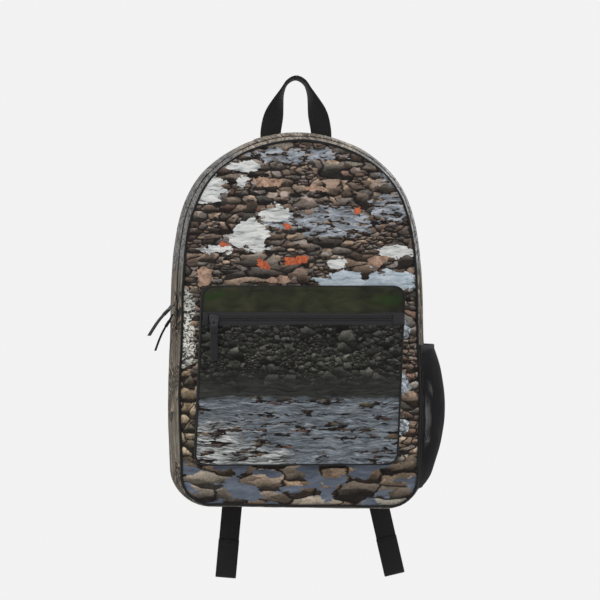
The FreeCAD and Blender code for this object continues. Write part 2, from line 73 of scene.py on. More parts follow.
MM = 0.001
BASE = low("lower_gusset").z
TOP = high("rear_gusset").z
HALF = high("rear_gusset").x
CORNER = 46 * MM
WEBBING = 25 * MM
ARCH_Z = TOP - HALF
FRONT = low("front_panel_lower").y
REAR = high("back_panel").y
FOLD = low("front_panel_upper").z
ZIP_Y = (high("main_zip_coil_front_upper").y + low("main_zip_coil_rear").y) / 2
ZIP_FOOT = low("main_zip_tape_rear").z
SEAM_INSET = 13 * MM
STITCH_GAP = 6 * MM
REAR_INSET = 4 * MM
FULL_FROM = -25 * MM
FULL_TO = -8 * MM
POCKET_LOW = low("pocket_gusset")
POCKET_HIGH = high("pocket_gusset")
POCKET_FACE = low("pocket_panel").y
POCKET_ZIP = (high("pocket_zip_coil_lower").z + low("pocket_zip_coil_upper").z) / 2


# ---------------------------------------------------------------- mesh helpers
def mesh_object(name, verts, faces, material, coords=None, smooth=True):
    """A mesh piece. coords are print coordinates, one per vertex, kept with the cloth as it moves."""
    mesh = bpy.data.meshes.new(name)
    mesh.from_pydata([tuple(v) for v in verts], [], faces)
    mesh.update()
    if coords is not None:
        layer = mesh.attributes.new("print_co", "FLOAT_VECTOR", "POINT")
        layer.data.foreach_set("vector", [c for co in coords for c in co])
    obj = bpy.data.objects.new(name, mesh)
    bpy.context.scene.collection.objects.link(obj)
    mesh.materials.append(material)
    for polygon in mesh.polygons:
        polygon.use_smooth = smooth
    return obj


def grid_object(name, rows, columns, place, material, coords=None, closed=False, smooth=True):
    """A sheet of quads: place(u, v) gives each point, with u along the rows and v across them."""
    verts = []
    marks = []
    for i in range(rows):
        for j in range(columns):
            u = i / rows if closed else i / (rows - 1)
            v = j / (columns - 1)
            point = place(u, v)
            verts.append(point)
            marks.append(coords(u, v, point) if coords else (point.x, point.z, point.y))
    faces = []
    for i in range(rows if closed else rows - 1):
        for j in range(columns - 1):
            a = i * columns + j
            b = ((i + 1) % rows) * columns + j
            faces.append((a, b, b + 1, a + 1))
    return mesh_object(name, verts, faces, material, marks, smooth)


def thicken(obj, thick, offset=-1.0):
    """Gives a sheet its cloth thickness, towards the inside by default."""
    solid = obj.modifiers.new("thickness", "SOLIDIFY")
    solid.thickness = thick
    solid.offset = offset
    solid.use_even_offset = False
    apply_modifiers(obj)
    return obj


def apply_modifiers(obj):
    bpy.context.view_layer.update()
    graph = bpy.context.evaluated_depsgraph_get()
    mesh = bpy.data.meshes.new_from_object(obj.evaluated_get(graph), depsgraph=graph)
    obj.modifiers.clear()
    obj.data = mesh


def ease(t):
    t = min(1.0, max(0.0, t))
    return t * t * (3 - 2 * t)


def soft_noise(point, size, seed):
    """Smooth noise from -1 to 1, with features of about the given size."""
    return noise.noise(Vector(point) / size + Vector((seed, 2.3 * seed, 5.1 * seed)))


# ---------------------------------------------------------------- the bag's crowned outline
def arch_length(inset):
    """Lengths of the outline's stretches from the middle of the base round to the top."""
    half = HALF - inset
    corner = CORNER - inset
    return (half - corner, corner * math.pi / 2, ARCH_Z - (BASE + CORNER), half * math.pi / 2)


PERIMETER = 2 * sum(arch_length(0.0))


def outline(u):
    """A point on the full outline and its outward normal. u runs from 0 at the middle of the base,
    up the +X side, over the top at 0.5 and back down the other side."""
    side = 1 if u <= 0.5 else -1
    run = (u if u <= 0.5 else 1 - u) * PERIMETER
    base, corner, wall, _ = arch_length(0.0)
    if run <= base:
        point, normal = Vector((run, 0, BASE)), Vector((0, 0, -1))
    elif run <= base + corner:
        angle = (run - base) / CORNER
        normal = Vector((math.sin(angle), 0, -math.cos(angle)))
        point = Vector((base, 0, BASE + CORNER)) + normal * CORNER
    elif run <= base + corner + wall:
        point, normal = Vector((HALF, 0, BASE + CORNER + run - base - corner)), Vector((1, 0, 0))
    else:
        angle = (run - base - corner - wall) / HALF
        normal = Vector((math.cos(angle), 0, math.sin(angle)))
        point = Vector((0, 0, ARCH_Z)) + normal * HALF
    point.x *= side
    normal.x *= side
    return point, normal


def flare(z):
    """How far the filled bag's side stands out of its pattern at a height."""
    rise = (z - BASE) / MM
    belly = 3.5 * math.exp(-((rise - 125) / 75) ** 2)
    waist = -3.5 * math.exp(-((rise - 325) / 42) ** 2)
    shoulder = 2.6 * math.exp(-((rise - 405) / 34) ** 2)
    return (belly + waist + shoulder) * MM


def inset_at(y):
    """How far the gusset is drawn in at a depth, towards the seam at each of its edges."""
    if y < FULL_FROM:
        return SEAM_INSET * ((FULL_FROM - y) / (FULL_FROM - FRONT)) ** 1.45
    if y > FULL_TO:
        return REAR_INSET * ((y - FULL_TO) / (REAR - FULL_TO)) ** 2.4
    return 0.0


def shell_point(u, y, out=0.0):
    """A point on the bag's outside at outline place u and depth y, raised outwards by out."""
    point, normal = outline(u % 1.0)
    inset = inset_at(y)
    if normal.z < -0.02:
        inset *= 1 - 0.45 * min(1.0, -normal.z)
    crease = 0.8 * MM * soft_noise((point.x, y * 1.6, point.z), 0.055, 3.0)
    crease += 0.45 * MM * soft_noise((point.x, y * 2.2, point.z), 0.022, 7.0)
    level = out - inset + crease + flare(point.z) * abs(normal.x)
    spot = point + normal * level
    low_down = max(0.0, 1 - (spot.z - BASE) / (110 * MM))
    return Vector((spot.x, y, spot.z - 2.4 * MM * low_down * spot.x / HALF))


def shell_coords(u, y):
    """Print coordinates on the gusset: distance round the outline and depth."""
    run = (u % 1.0 - 0.5) * PERIMETER
    return (y, run, 0.4)


def along(start, end, t):
    return start + (end - start) * t


def u_at_height(z):
    """The +X side's outline place at a height on its straight wall."""
    base, corner, _, _ = arch_length(0.0)
    return (base + corner + z - (BASE + CORNER)) / PERIMETER


# ---------------------------------------------------------------- materials
def new_material(name, roughness=0.85, sheen=0.0):
    material = bpy.data.materials.new(name)
    material.use_nodes = True
    shader = material.node_tree.nodes["Principled BSDF"]
    shader.inputs["Roughness"].default_value = roughness
    shader.inputs["Sheen Weight"].default_value = sheen
    shader.inputs["Specular IOR Level"].default_value = 0.5 - 0.42 * min(1.0, roughness)
    return material, material.node_tree, shader


def add(tree, kind, **settings):
    node = tree.nodes.new(kind)
    for key, setting in settings.items():
        if key in node.inputs:
            node.inputs[key].default_value = setting
        else:
            setattr(node, key, setting)
    return node


def link(tree, output, target):
    tree.links.new(output, target)


def calc(tree, operation, first, second=0.0, clamp=False):
    node = add(tree, "ShaderNodeMath", operation=operation, use_clamp=clamp)
    for socket, term in zip(node.inputs, (first, second)):
        if isinstance(term, (int, float)):
            socket.default_value = term
        else:
            link(tree, term, socket)
    return node.outputs[0]


def ramp(tree, factor, stops, interpolation="LINEAR"):
    node = add(tree, "ShaderNodeValToRGB")
    node.color_ramp.interpolation = interpolation
    elements = node.color_ramp.elements
    while len(elements) < len(stops):
        elements.new(0.5)
    for element, (place, colour) in zip(elements, stops):
        element.position = place
        element.color = (*colour, 1) if len(colour) == 3 else colour
    link(tree, factor, node.inputs[0])
    return node.outputs[0]


def rising(tree, factor, start, end):
    """0 below start and 1 above end."""
    return ramp(tree, factor, [(start, (0, 0, 0)), (end, (1, 1, 1))])


def falling(tree, factor, start, end):
    """1 below start and 0 above end."""
    return ramp(tree, factor, [(start, (1, 1, 1)), (end, (0, 0, 0))])


def mix(tree, factor, first, second, blend="MIX"):
    node = add(tree, "ShaderNodeMix", data_type="RGBA", blend_type=blend)
    for socket, term in ((node.inputs[0], factor), (node.inputs[6], first), (node.inputs[7], second)):
        if isinstance(term, (int, float)):
            socket.default_value = term
        elif isinstance(term, tuple):
            socket.default_value = (*term, 1)
        else:
            link(tree, term, socket)
    return node.outputs[2]


def print_coords(tree, scale=(1, 1, 1), move=(0, 0, 0), turn=0.0):
    source = add(tree, "ShaderNodeAttribute", attribute_name="print_co")
    mapping = add(tree, "ShaderNodeMapping")
    mapping.inputs["Scale"].default_value = scale
    mapping.inputs["Location"].default_value = move
    mapping.inputs["Rotation"].default_value = (0, 0, turn)
    link(tree, source.outputs["Vector"], mapping.inputs["Vector"])
    return mapping.outputs[0]


def wavy(tree, vector, amount, scale, detail=3.0):
    """The coordinates pushed about by noise, so that edges run crooked."""
    field = add(tree, "ShaderNodeTexNoise", Scale=scale, Detail=detail)
    link(tree, vector, field.inputs["Vector"])
    shift = add(tree, "ShaderNodeVectorMath", operation="MULTIPLY_ADD")
    link(tree, field.outputs["Color"], shift.inputs[0])
    shift.inputs[1].default_value = (amount, amount, amount)
    link(tree, vector, shift.inputs[2])
    return shift.outputs[0]


def texture(tree, kind, vector, output, **settings):
    node = add(tree, kind, **settings)
    link(tree, vector, node.inputs["Vector"])
    return node.outputs[output]


def stones(tree, vector, size, stretch, tones, crevice, seed):
    """A layer of top-lit, faceted stones."""
    mapping = add(tree, "ShaderNodeMapping")
    mapping.inputs["Scale"].default_value = (1 / (size * stretch), 1 / size, 1 / size)
    mapping.inputs["Location"].default_value = (seed, seed * 1.7, 0)
    link(tree, vector, mapping.inputs["Vector"])
    bent = wavy(tree, mapping.outputs[0], 0.8, 1.4, detail=6.0)
    cells = add(tree, "ShaderNodeTexVoronoi", voronoi_dimensions="2D", Scale=1.0, Randomness=1.0)
    edges = add(tree, "ShaderNodeTexVoronoi", voronoi_dimensions="2D", Scale=1.0, Randomness=1.0,
                feature="DISTANCE_TO_EDGE")
    facets = add(tree, "ShaderNodeTexVoronoi", voronoi_dimensions="2D", Scale=2.6, Randomness=1.0)
    for node in (cells, edges, facets):
        link(tree, bent, node.inputs["Vector"])
    tone = add(tree, "ShaderNodeSeparateColor")
    link(tree, cells.outputs["Color"], tone.inputs[0])
    colour = ramp(tree, tone.outputs[0], tones)
    within = add(tree, "ShaderNodeVectorMath", operation="SUBTRACT")
    link(tree, bent, within.inputs[0])
    link(tree, cells.outputs["Position"], within.inputs[1])
    split = add(tree, "ShaderNodeSeparateXYZ")
    link(tree, within.outputs[0], split.inputs[0])
    lit = calc(tree, "MULTIPLY_ADD", split.outputs[1], 1.7)
    lit.node.inputs[2].default_value = 0.6
    facet = add(tree, "ShaderNodeSeparateColor")
    link(tree, facets.outputs["Color"], facet.inputs[0])
    turned = calc(tree, "MULTIPLY_ADD", facet.outputs[1], 0.9)
    turned.node.inputs[2].default_value = 0.55
    mottle = texture(tree, "ShaderNodeTexNoise", vector, "Fac", Scale=330.0, Detail=7.0, Roughness=0.75)
    grain = calc(tree, "MULTIPLY_ADD", mottle, 2.6)
    grain.node.inputs[2].default_value = -0.3
    light = calc(tree, "MULTIPLY", calc(tree, "MULTIPLY", calc(tree, "MAXIMUM", lit, 0.1), turned), grain)
    shade = ramp(tree, calc(tree, "MULTIPLY", light, 0.5), [(0.0, (0, 0, 0)), (1.0, (2, 2, 2))])
    colour = mix(tree, 1.0, colour, shade, "MULTIPLY")
    depth = ramp(tree, edges.outputs["Distance"], [(0.0, (1, 1, 1)), (crevice, (0, 0, 0))], "EASE")
    return mix(tree, depth, colour, (0.008, 0.006, 0.006))


def rubble(tree, vector, size, stretch, tones, seed):
    """Stones of three sizes lying in patches, as a stream sorts them."""
    layers = [stones(tree, vector, size * share, stretch, tones, crevice, seed + 7 * share)
              for share, crevice in ((1.0, 0.09), (0.5, 0.13), (0.24, 0.2))]
    field = texture(tree, "ShaderNodeTexNoise", wavy(tree, vector, 0.01, 60.0), "Fac", Scale=0.55 / size,
                    Detail=2.0)
    bed = mix(tree, rising(tree, field, 0.45, 0.47), layers[0], layers[1])
    return mix(tree, rising(tree, field, 0.57, 0.59), bed, layers[2])


def raggedness(tree, vector):
    """Coordinates bent by noise, and an uneven level, shared by all of a print's spots."""
    rough = texture(tree, "ShaderNodeTexNoise", print_coords(tree, scale=(0.6, 1.3, 1)), "Fac",
                    Scale=75.0, Detail=7.0, Roughness=0.62)
    return wavy(tree, vector, 0.016, 75.0, detail=6.0), calc(tree, "SUBTRACT", rough, 0.5)


def spots(tree, rough, places, ragged=2.4, soft=0.06):
    """1 inside rough-edged spots, each (x, height, half width, half height) in mm, and 0 outside."""
    vector, level = rough
    nearest = None
    for x, height, half_x, half_z in places:
        mapping = add(tree, "ShaderNodeMapping")
        mapping.inputs["Scale"].default_value = (1 / (half_x * MM), 1 / (half_z * MM), 0)
        mapping.inputs["Location"].default_value = (-x / half_x, -(BASE / MM + height) / half_z, 0)
        link(tree, vector, mapping.inputs["Vector"])
        reach = add(tree, "ShaderNodeVectorMath", operation="LENGTH")
        link(tree, mapping.outputs[0], reach.inputs[0])
        reach = reach.outputs["Value"]
        nearest = calc(tree, "MINIMUM", nearest, reach) if nearest else reach
    edge = calc(tree, "MULTIPLY_ADD", level, ragged)
    edge.node.inputs[2].default_value = 1.0
    return ramp(tree, calc(tree, "SUBTRACT", edge, nearest), [(0.0, (0, 0, 0)), (soft, (1, 1, 1))])


def zone(tree, vector, axis, start, end):
    """0 before start and 1 after end along a print axis, with a rough edge between them."""
    split = add(tree, "ShaderNodeSeparateXYZ")
    link(tree, vector, split.inputs[0])
    rough = texture(tree, "ShaderNodeTexNoise", vector, "Fac", Scale=45.0, Detail=5.0)
    place = calc(tree, "MULTIPLY_ADD", rough, 12 * MM)
    link(tree, split.outputs[axis], place.node.inputs[2])
    gap = calc(tree, "SUBTRACT", place, start + 6 * MM)
    return calc(tree, "DIVIDE", gap, end - start, clamp=True)


ROCK = [(0.0, (0.05, 0.038, 0.03)), (0.16, (0.28, 0.2, 0.145)), (0.3, (0.1, 0.078, 0.062)),
        (0.44, (0.36, 0.31, 0.27)), (0.56, (0.2, 0.12, 0.085)), (0.68, (0.3, 0.26, 0.21)),
        (0.8, (0.09, 0.085, 0.075)), (0.9, (0.5, 0.36, 0.25)), (1.0, (0.24, 0.22, 0.2))]
BANK_ROCK = [(0.0, (0.016, 0.017, 0.014)), (0.4, (0.045, 0.046, 0.037)), (0.75, (0.07, 0.07, 0.058)),
             (1.0, (0.11, 0.108, 0.09))]
RED_ROCK = [(0.0, (0.02, 0.016, 0.015)), (0.4, (0.07, 0.045, 0.036)), (0.7, (0.12, 0.07, 0.05)),
            (1.0, (0.2, 0.16, 0.1))]
BOULDER = [(0.0, (0.2, 0.16, 0.12)), (0.3, (0.4, 0.28, 0.18)), (0.55, (0.26, 0.23, 0.19)),
           (0.8, (0.5, 0.36, 0.22)), (1.0, (0.33, 0.31, 0.26))]
WARM_ROCK = [(0.0, (0.08, 0.065, 0.045)), (0.4, (0.3, 0.22, 0.14)), (0.7, (0.17, 0.15, 0.11)),
             (1.0, (0.5, 0.38, 0.26))]


def streaks(tree, vector, scale, tones, seed=0.0, detail=8.0):
    """Bands of tones drawn out along the print by uneven scaling: water, foam or bark."""
    stretched = add(tree, "ShaderNodeMapping")
    stretched.inputs["Scale"].default_value = scale
    stretched.inputs["Location"].default_value = (seed, seed, 0)
    link(tree, wavy(tree, vector, 0.012, 40.0), stretched.inputs["Vector"])
    ripple = add(tree, "ShaderNodeTexNoise", Scale=1.0, Detail=detail, Roughness=0.66, Distortion=0.6)
    link(tree, stretched.outputs[0], ripple.inputs["Vector"])
    return ramp(tree, ripple.outputs["Fac"], tones)


def cloth_surface(tree, shader, weave=0.06):
    """Fine plain weave and soft puckers, in the bump only."""
    vector = print_coords(tree)
    warp = texture(tree, "ShaderNodeTexWave", vector, "Fac", Scale=640.0, bands_direction="X")
    weft = texture(tree, "ShaderNodeTexWave", vector, "Fac", Scale=640.0, bands_direction="Y")
    threads = calc(tree, "MULTIPLY", warp, weft)
    pucker = texture(tree, "ShaderNodeTexNoise", vector, "Fac", Scale=42.0, Detail=4.0)
    fine = add(tree, "ShaderNodeBump", Strength=weave, Distance=0.0004)
    link(tree, threads, fine.inputs["Height"])
    soft = add(tree, "ShaderNodeBump", Strength=0.35, Distance=0.0022)
    link(tree, pucker, soft.inputs["Height"])
    link(tree, fine.outputs[0], soft.inputs["Normal"])
    link(tree, soft.outputs[0], shader.inputs["Normal"])


def printed(name, paint):
    """Polyester with a printed picture: paint(tree, vector) returns the picture's colour."""
    material, tree, shader = new_material(name, roughness=0.8, sheen=0.02)
    inked = mix(tree, 1.0, paint(tree, print_coords(tree)), (0.6, 0.6, 0.62), "MULTIPLY")
    link(tree, inked, shader.inputs["Base Color"])
    cloth_surface(tree, shader)
    return material


def paint_front_upper(tree, vector):
    """A stony stream: dark rubble with bright water and fallen leaves between the stones."""
    rough = raggedness(tree, vector)
    bed = rubble(tree, vector, 0.017, 2.3, ROCK, 3.0)
    pebbles = stones(tree, vector, 0.004, 2.2, ROCK, 0.25, 31.0)
    grey_water = streaks(tree, vector, (70, 230, 60), [(0.35, (0.1, 0.11, 0.12)), (0.5, (0.3, 0.33, 0.36)),
                                                      (0.66, (0.62, 0.66, 0.7))])
    few = texture(tree, "ShaderNodeTexNoise", print_coords(tree, scale=(0.5, 1.4, 1)), "Fac", Scale=150.0,
                  Detail=5.0)
    grey_water = mix(tree, rising(tree, few, 0.53, 0.55), grey_water, pebbles)
    bed = mix(tree, spots(tree, rough, [(46, 350, 46, 19), (118, 366, 26, 16), (-18, 352, 18, 12),
                                         (4, 428, 52, 7), (112, 400, 14, 10)], soft=0.04), bed, grey_water)
    white_water = streaks(tree, vector, (50, 260, 60),
                          [(0.34, (0.25, 0.25, 0.24)), (0.46, (0.7, 0.72, 0.69)),
                           (0.6, (1.0, 1.0, 0.93))], seed=5.0)
    bed = mix(tree, spots(tree, rough, [(-100, 386, 20, 17), (-58, 412, 20, 9), (-52, 332, 26, 17),
                                         (-22, 358, 16, 12), (-92, 316, 18, 5), (52, 300, 14, 6),
                                         (124, 314, 22, 8), (-60, 396, 8, 5)]), bed, white_water)
    blue_water = streaks(tree, vector, (60, 240, 60), [(0.3, (0.22, 0.28, 0.32)), (0.45, (0.5, 0.6, 0.66)),
                                                      (0.6, (0.8, 0.88, 0.92))], seed=9.0)
    bed = mix(tree, spots(tree, rough, [(58, 280, 34, 10), (112, 276, 34, 15), (84, 266, 50, 8)]),
              bed, blue_water)
    leaf = streaks(tree, vector, (260, 260, 60), [(0.35, (0.3, 0.06, 0.03)), (0.6, (0.78, 0.2, 0.08))])
    bed = mix(tree, spots(tree, rough, [(1, 303, 13, 5), (76, 364, 4.5, 5), (-82, 321, 5, 4),
                                         (-8, 343, 4, 4), (-34, 298, 8, 6)], 2.6), bed, leaf)
    peach = streaks(tree, vector, (150, 150, 60), [(0.35, (0.16, 0.1, 0.07)), (0.62, (0.72, 0.47, 0.33))])
    bed = mix(tree, spots(tree, rough, [(-105, 285, 10, 10), (-18, 281, 13, 4), (-30, 396, 20, 5),
                                         (30, 388, 14, 4), (98, 303, 13, 6)], 1.9), bed, peach)
    return bed


def paint_front_lower(tree, vector):
    """The strips beside the pocket, of bark and stones, and boulders in slate water at the foot."""
    rough = raggedness(tree, vector)
    bed = rubble(tree, vector, 0.017, 2.0, ROCK, 3.0)
    scribble = streaks(tree, vector, (260, 420, 60), [(0.44, (0.03, 0.03, 0.028)), (0.5, (0.3, 0.3, 0.27)),
                                                      (0.56, (0.7, 0.69, 0.62))], seed=13.0)
    bed = mix(tree, spots(tree, rough, [(-128, 250, 13, 24), (-128, 204, 13, 28)], 0.25), bed, scribble)
    warm = stones(tree, vector, 0.012, 1.1, WARM_ROCK, 0.12, 17.0)
    bed = mix(tree, spots(tree, rough, [(-130, 120, 17, 60), (-132, 80, 17, 40)], 0.3), bed, warm)
    pale = streaks(tree, vector, (160, 160, 60), [(0.38, (0.05, 0.05, 0.05)), (0.5, (0.3, 0.33, 0.36)),
                                                 (0.6, (0.66, 0.74, 0.8))], seed=19.0)
    bed = mix(tree, spots(tree, rough, [(128, 224, 9, 16), (128, 158, 8, 14), (127, 108, 9, 10)], 1.6),
              bed, pale)
    sunlit = mix(tree, 1.0, bed, (1.7, 1.7, 1.65), "MULTIPLY")
    bed = mix(tree, zone(tree, vector, 1, BASE + 225 * MM, BASE + 255 * MM), sunlit, bed)
    slate = streaks(tree, vector, (26, 90, 60), [(0.3, (0.07, 0.08, 0.1)), (0.55, (0.16, 0.19, 0.24)),
                                                (0.75, (0.3, 0.34, 0.4))], seed=3.0)
    boulders = stones(tree, vector, 0.019, 2.2, BOULDER, 0.08, 23.0)
    gaps = texture(tree, "ShaderNodeTexNoise", print_coords(tree, scale=(0.55, 1.2, 1), move=(7, 3, 0)),
                   "Fac", Scale=42.0, Detail=4.0)
    foot = mix(tree, rising(tree, gaps, 0.52, 0.54), boulders, slate)
    return mix(tree, zone(tree, vector, 1, BASE + 56 * MM, BASE + 61 * MM), foot, bed)


def paint_pocket(tree, vector):
    """A shaded rock bank over rippled water with dark stones in it."""
    rough = raggedness(tree, vector)
    bank = rubble(tree, vector, 0.011, 1.5, BANK_ROCK, 41.0)
    glow = spots(tree, rough, [(44, 186, 48, 20), (-40, 196, 60, 14)], 0.8, soft=0.9)
    glow = calc(tree, "MULTIPLY", glow, 0.85)
    lit_bank = mix(tree, 1.0, bank, (1.9, 1.95, 1.8), "MULTIPLY")
    bank = mix(tree, glow, bank, lit_bank)
    dim = streaks(tree, vector, (40, 380, 60), [(0.35, (0.012, 0.013, 0.011)), (0.6, (0.045, 0.047, 0.04)),
                                               (0.75, (0.09, 0.095, 0.085))], seed=2.0)
    bank = mix(tree, zone(tree, vector, 1, BASE + 146 * MM, BASE + 168 * MM), dim, bank)
    ripples = streaks(tree, vector, (55, 420, 60),
                      [(0.34, (0.035, 0.04, 0.045)), (0.47, (0.13, 0.15, 0.165)),
                       (0.58, (0.25, 0.285, 0.31)), (0.7, (0.5, 0.54, 0.55))],
                      seed=6.0)
    foam = streaks(tree, vector, (45, 360, 60), [(0.4, (0.04, 0.04, 0.04)), (0.5, (0.3, 0.31, 0.3)),
                                                (0.6, (0.78, 0.8, 0.76))], seed=8.0)
    stream = mix(tree, spots(tree, rough, [(-92, 84, 44, 36), (-50, 70, 60, 16), (-96, 104, 30, 12)],
                             1.4, soft=0.4), ripples, foam)
    dark = stones(tree, vector, 0.0065, 2.6, RED_ROCK, 0.2, 47.0)
    scatter = texture(tree, "ShaderNodeTexNoise", print_coords(tree, scale=(0.42, 1.5, 1), move=(3, 1, 0)),
                      "Fac", Scale=105.0, Detail=5.0, Roughness=0.6)
    stream = mix(tree, rising(tree, scatter, 0.55, 0.575), stream, dark)
    return mix(tree, zone(tree, vector, 1, BASE + 130 * MM, BASE + 137 * MM), stream, bank)


def paint_hood(tree, vector):
    """Out-of-focus undergrowth in deep shade."""
    leaves = streaks(tree, vector, (34, 60, 60), [(0.3, (0.016, 0.017, 0.009)), (0.5, (0.03, 0.032, 0.016)),
                                                 (0.7, (0.05, 0.052, 0.026))], detail=2.0)
    rough = raggedness(tree, vector)
    fresh = spots(tree, rough, [(110, 258, 26, 9), (-96, 262, 24, 5)], 0.8, soft=0.9)
    return mix(tree, fresh, leaves, (0.02, 0.045, 0.008))


def paint_side(tree, vector):
    """Lichen and bark: grey and speckled over the arch, brown and drawn out below it."""
    lichen = streaks(tree, vector, (120, 300, 60),
                     [(0.36, (0.018, 0.017, 0.016)), (0.45, (0.13, 0.125, 0.115)),
                      (0.56, (0.3, 0.295, 0.28)), (0.7, (0.5, 0.49, 0.46))])
    bark = streaks(tree, vector, (230, 34, 60), [(0.34, (0.035, 0.028, 0.02)), (0.46, (0.15, 0.12, 0.08)),
                                                (0.6, (0.28, 0.25, 0.19)), (0.75, (0.5, 0.45, 0.36))],
                   seed=4.0)
    warm = rubble(tree, vector, 0.017, 0.8, WARM_ROCK, 53.0)
    clumps = texture(tree, "ShaderNodeTexNoise", vector, "Fac", Scale=24.0, Detail=4.0)
    cover = mix(tree, rising(tree, clumps, 0.5, 0.54), warm, bark)
    far = add(tree, "ShaderNodeSeparateXYZ")
    link(tree, vector, far.inputs[0])
    height = calc(tree, "ABSOLUTE", far.outputs[1])
    below = rising(tree, height, 0.235, 0.26)
    top = falling(tree, height, 0.07, 0.09)
    pale = streaks(tree, vector, (70, 200, 60), [(0.4, (0.1, 0.08, 0.06)), (0.5, (0.35, 0.33, 0.3)),
                                                (0.6, (0.66, 0.7, 0.74))], seed=12.0)
    right = ramp(tree, calc(tree, "ADD", far.outputs[1], 0.5), [(0.38, (1, 1, 1)), (0.4, (0, 0, 0))])
    arch = mix(tree, right, lichen, pale)
    crosswise = streaks(tree, vector, (20, 330, 60),
                        [(0.36, (0.04, 0.032, 0.025)), (0.48, (0.24, 0.19, 0.14)),
                         (0.62, (0.62, 0.55, 0.44))], seed=15.0)
    arch = mix(tree, top, arch, crosswise)
    return mix(tree, below, arch, cover)


def plain_cloth(name, colour, scale=900.0, sheen=0.08, roughness=0.9, depth=0.0005, contrast=0.35):
    """Dyed cloth with a visible weave and a little unevenness in its colour."""
    material, tree, shader = new_material(name, roughness=roughness, sheen=sheen)
    vector = add(tree, "ShaderNodeTexCoord").outputs["Object"]
    weave = texture(tree, "ShaderNodeTexNoise", vector, "Fac", Scale=scale, Detail=2.0)
    cloud = texture(tree, "ShaderNodeTexNoise", vector, "Fac", Scale=60.0, Detail=4.0)
    factor = calc(tree, "ADD", calc(tree, "MULTIPLY", weave, 0.6), calc(tree, "MULTIPLY", cloud, 0.4))
    dark = tuple(c * (1 - contrast) for c in colour)
    pale = tuple(c * (1 + contrast) for c in colour)
    link(tree, ramp(tree, factor, [(0.35, dark), (0.65, pale)]), shader.inputs["Base Color"])
    bump = add(tree, "ShaderNodeBump", Strength=0.5, Distance=depth)
    link(tree, weave, bump.inputs["Height"])
    link(tree, bump.outputs[0], shader.inputs["Normal"])
    return material


def ribbed_cloth(name, colour, pitch, axis=2, sheen=0.08):
    """Webbing or grosgrain: ribs across the strip at a given pitch, from the print coordinates."""
    material, tree, shader = new_material(name, roughness=0.82, sheen=sheen)
    vector = print_coords(tree)
    direction = "XYZ"[axis]
    ribs = texture(tree, "ShaderNodeTexWave", vector, "Fac", Scale=1 / pitch / 2, bands_direction=direction)
    fuzz = texture(tree, "ShaderNodeTexNoise", vector, "Fac", Scale=1400.0, Detail=2.0)
    height = calc(tree, "ADD", calc(tree, "MULTIPLY", ribs, 0.7), calc(tree, "MULTIPLY", fuzz, 0.3))
    # Painted shade and highlight: the colour follows the rib height, darker in the grooves between the ribs
    # and paler on their crests, with random thread tone from the fuzz noise
    dark = tuple(c * 0.5 for c in colour)
    pale = tuple(c * 1.35 for c in colour)
    link(tree, ramp(tree, height, [(0.2, dark), (0.8, pale)]), shader.inputs["Base Color"])
    bump = add(tree, "ShaderNodeBump", Strength=0.6, Distance=0.0006)
    link(tree, height, bump.inputs["Height"])
    link(tree, bump.outputs[0], shader.inputs["Normal"])
    return material


def smooth_solid(name, colour, roughness, metallic=0.0, coat=0.0):
    """Lacquered metal or moulded plastic with faint handling marks."""
    material, tree, shader = new_material(name, roughness=roughness)
    shader.inputs["Metallic"].default_value = metallic
    shader.inputs["Coat Weight"].default_value = coat
    vector = add(tree, "ShaderNodeTexCoord").outputs["Object"]
    marks = texture(tree, "ShaderNodeTexNoise", vector, "Fac", Scale=420.0, Detail=5.0, Roughness=0.7)
    dark = tuple(c * 0.7 for c in colour)
    pale = tuple(min(1.0, c * 1.4) for c in colour)
    link(tree, ramp(tree, marks, [(0.35, dark), (0.7, pale)]), shader.inputs["Base Color"])
    rough = ramp(tree, marks, [(0.3, (roughness * 0.8,) * 3), (0.75, (roughness * 1.3,) * 3)])
    link(tree, rough, shader.inputs["Roughness"])
    bump = add(tree, "ShaderNodeBump", Strength=0.12, Distance=0.0003)
    link(tree, marks, bump.inputs["Height"])
    link(tree, bump.outputs[0], shader.inputs["Normal"])
    return material


MATERIALS = {
    "front_upper": printed("print_front_upper", paint_front_upper),
    "front_lower": printed("print_front_lower", paint_front_lower),
    "pocket": printed("print_pocket", paint_pocket),
    "hood": printed("print_hood", paint_hood),
    "side": printed("print_side", paint_side),
    "webbing": ribbed_cloth("webbing", (0.014, 0.0135, 0.0145), 0.0011),
    "ribbon": ribbed_cloth("ribbon", (0.02, 0.019, 0.021), 0.0007),
    "tape": ribbed_cloth("zip_tape", (0.027, 0.026, 0.028), 0.0009),
    "coil": smooth_solid("zip_coil", (0.024, 0.023, 0.025), 0.45),
    "metal": smooth_solid("slider_metal", (0.035, 0.035, 0.038), 0.34, metallic=0.6),
    "plastic": smooth_solid("lock_plastic", (0.014, 0.014, 0.016), 0.36, coat=0.2),
    "lining": plain_cloth("lining", (0.012, 0.012, 0.013)),
    "strap": plain_cloth("strap_cloth", (0.012, 0.012, 0.013)),
    "spacer": plain_cloth("spacer_mesh", (0.013, 0.013, 0.014), scale=520.0, depth=0.0012, contrast=0.6),
    "binding": plain_cloth("binding", (0.013, 0.013, 0.014)),
    "thread": plain_cloth("thread", (0.02, 0.02, 0.022), scale=2500.0),
    "elastic": ribbed_cloth("elastic", (0.022, 0.0215, 0.023), 0.0013),
    "net": plain_cloth("net", (0.014, 0.014, 0.016), scale=2500.0),
    "foam": plain_cloth("foam", (0.6, 0.6, 0.57), sheen=0.0),
    "board": smooth_solid("board", (0.03, 0.03, 0.035), 0.6),
}


def riding(obj, body, slot, *nodes):
    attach(obj, body)
    if nodes:
        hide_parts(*nodes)
    return obj


# ---------------------------------------------------------------- the bag's skins
ROUND = 200


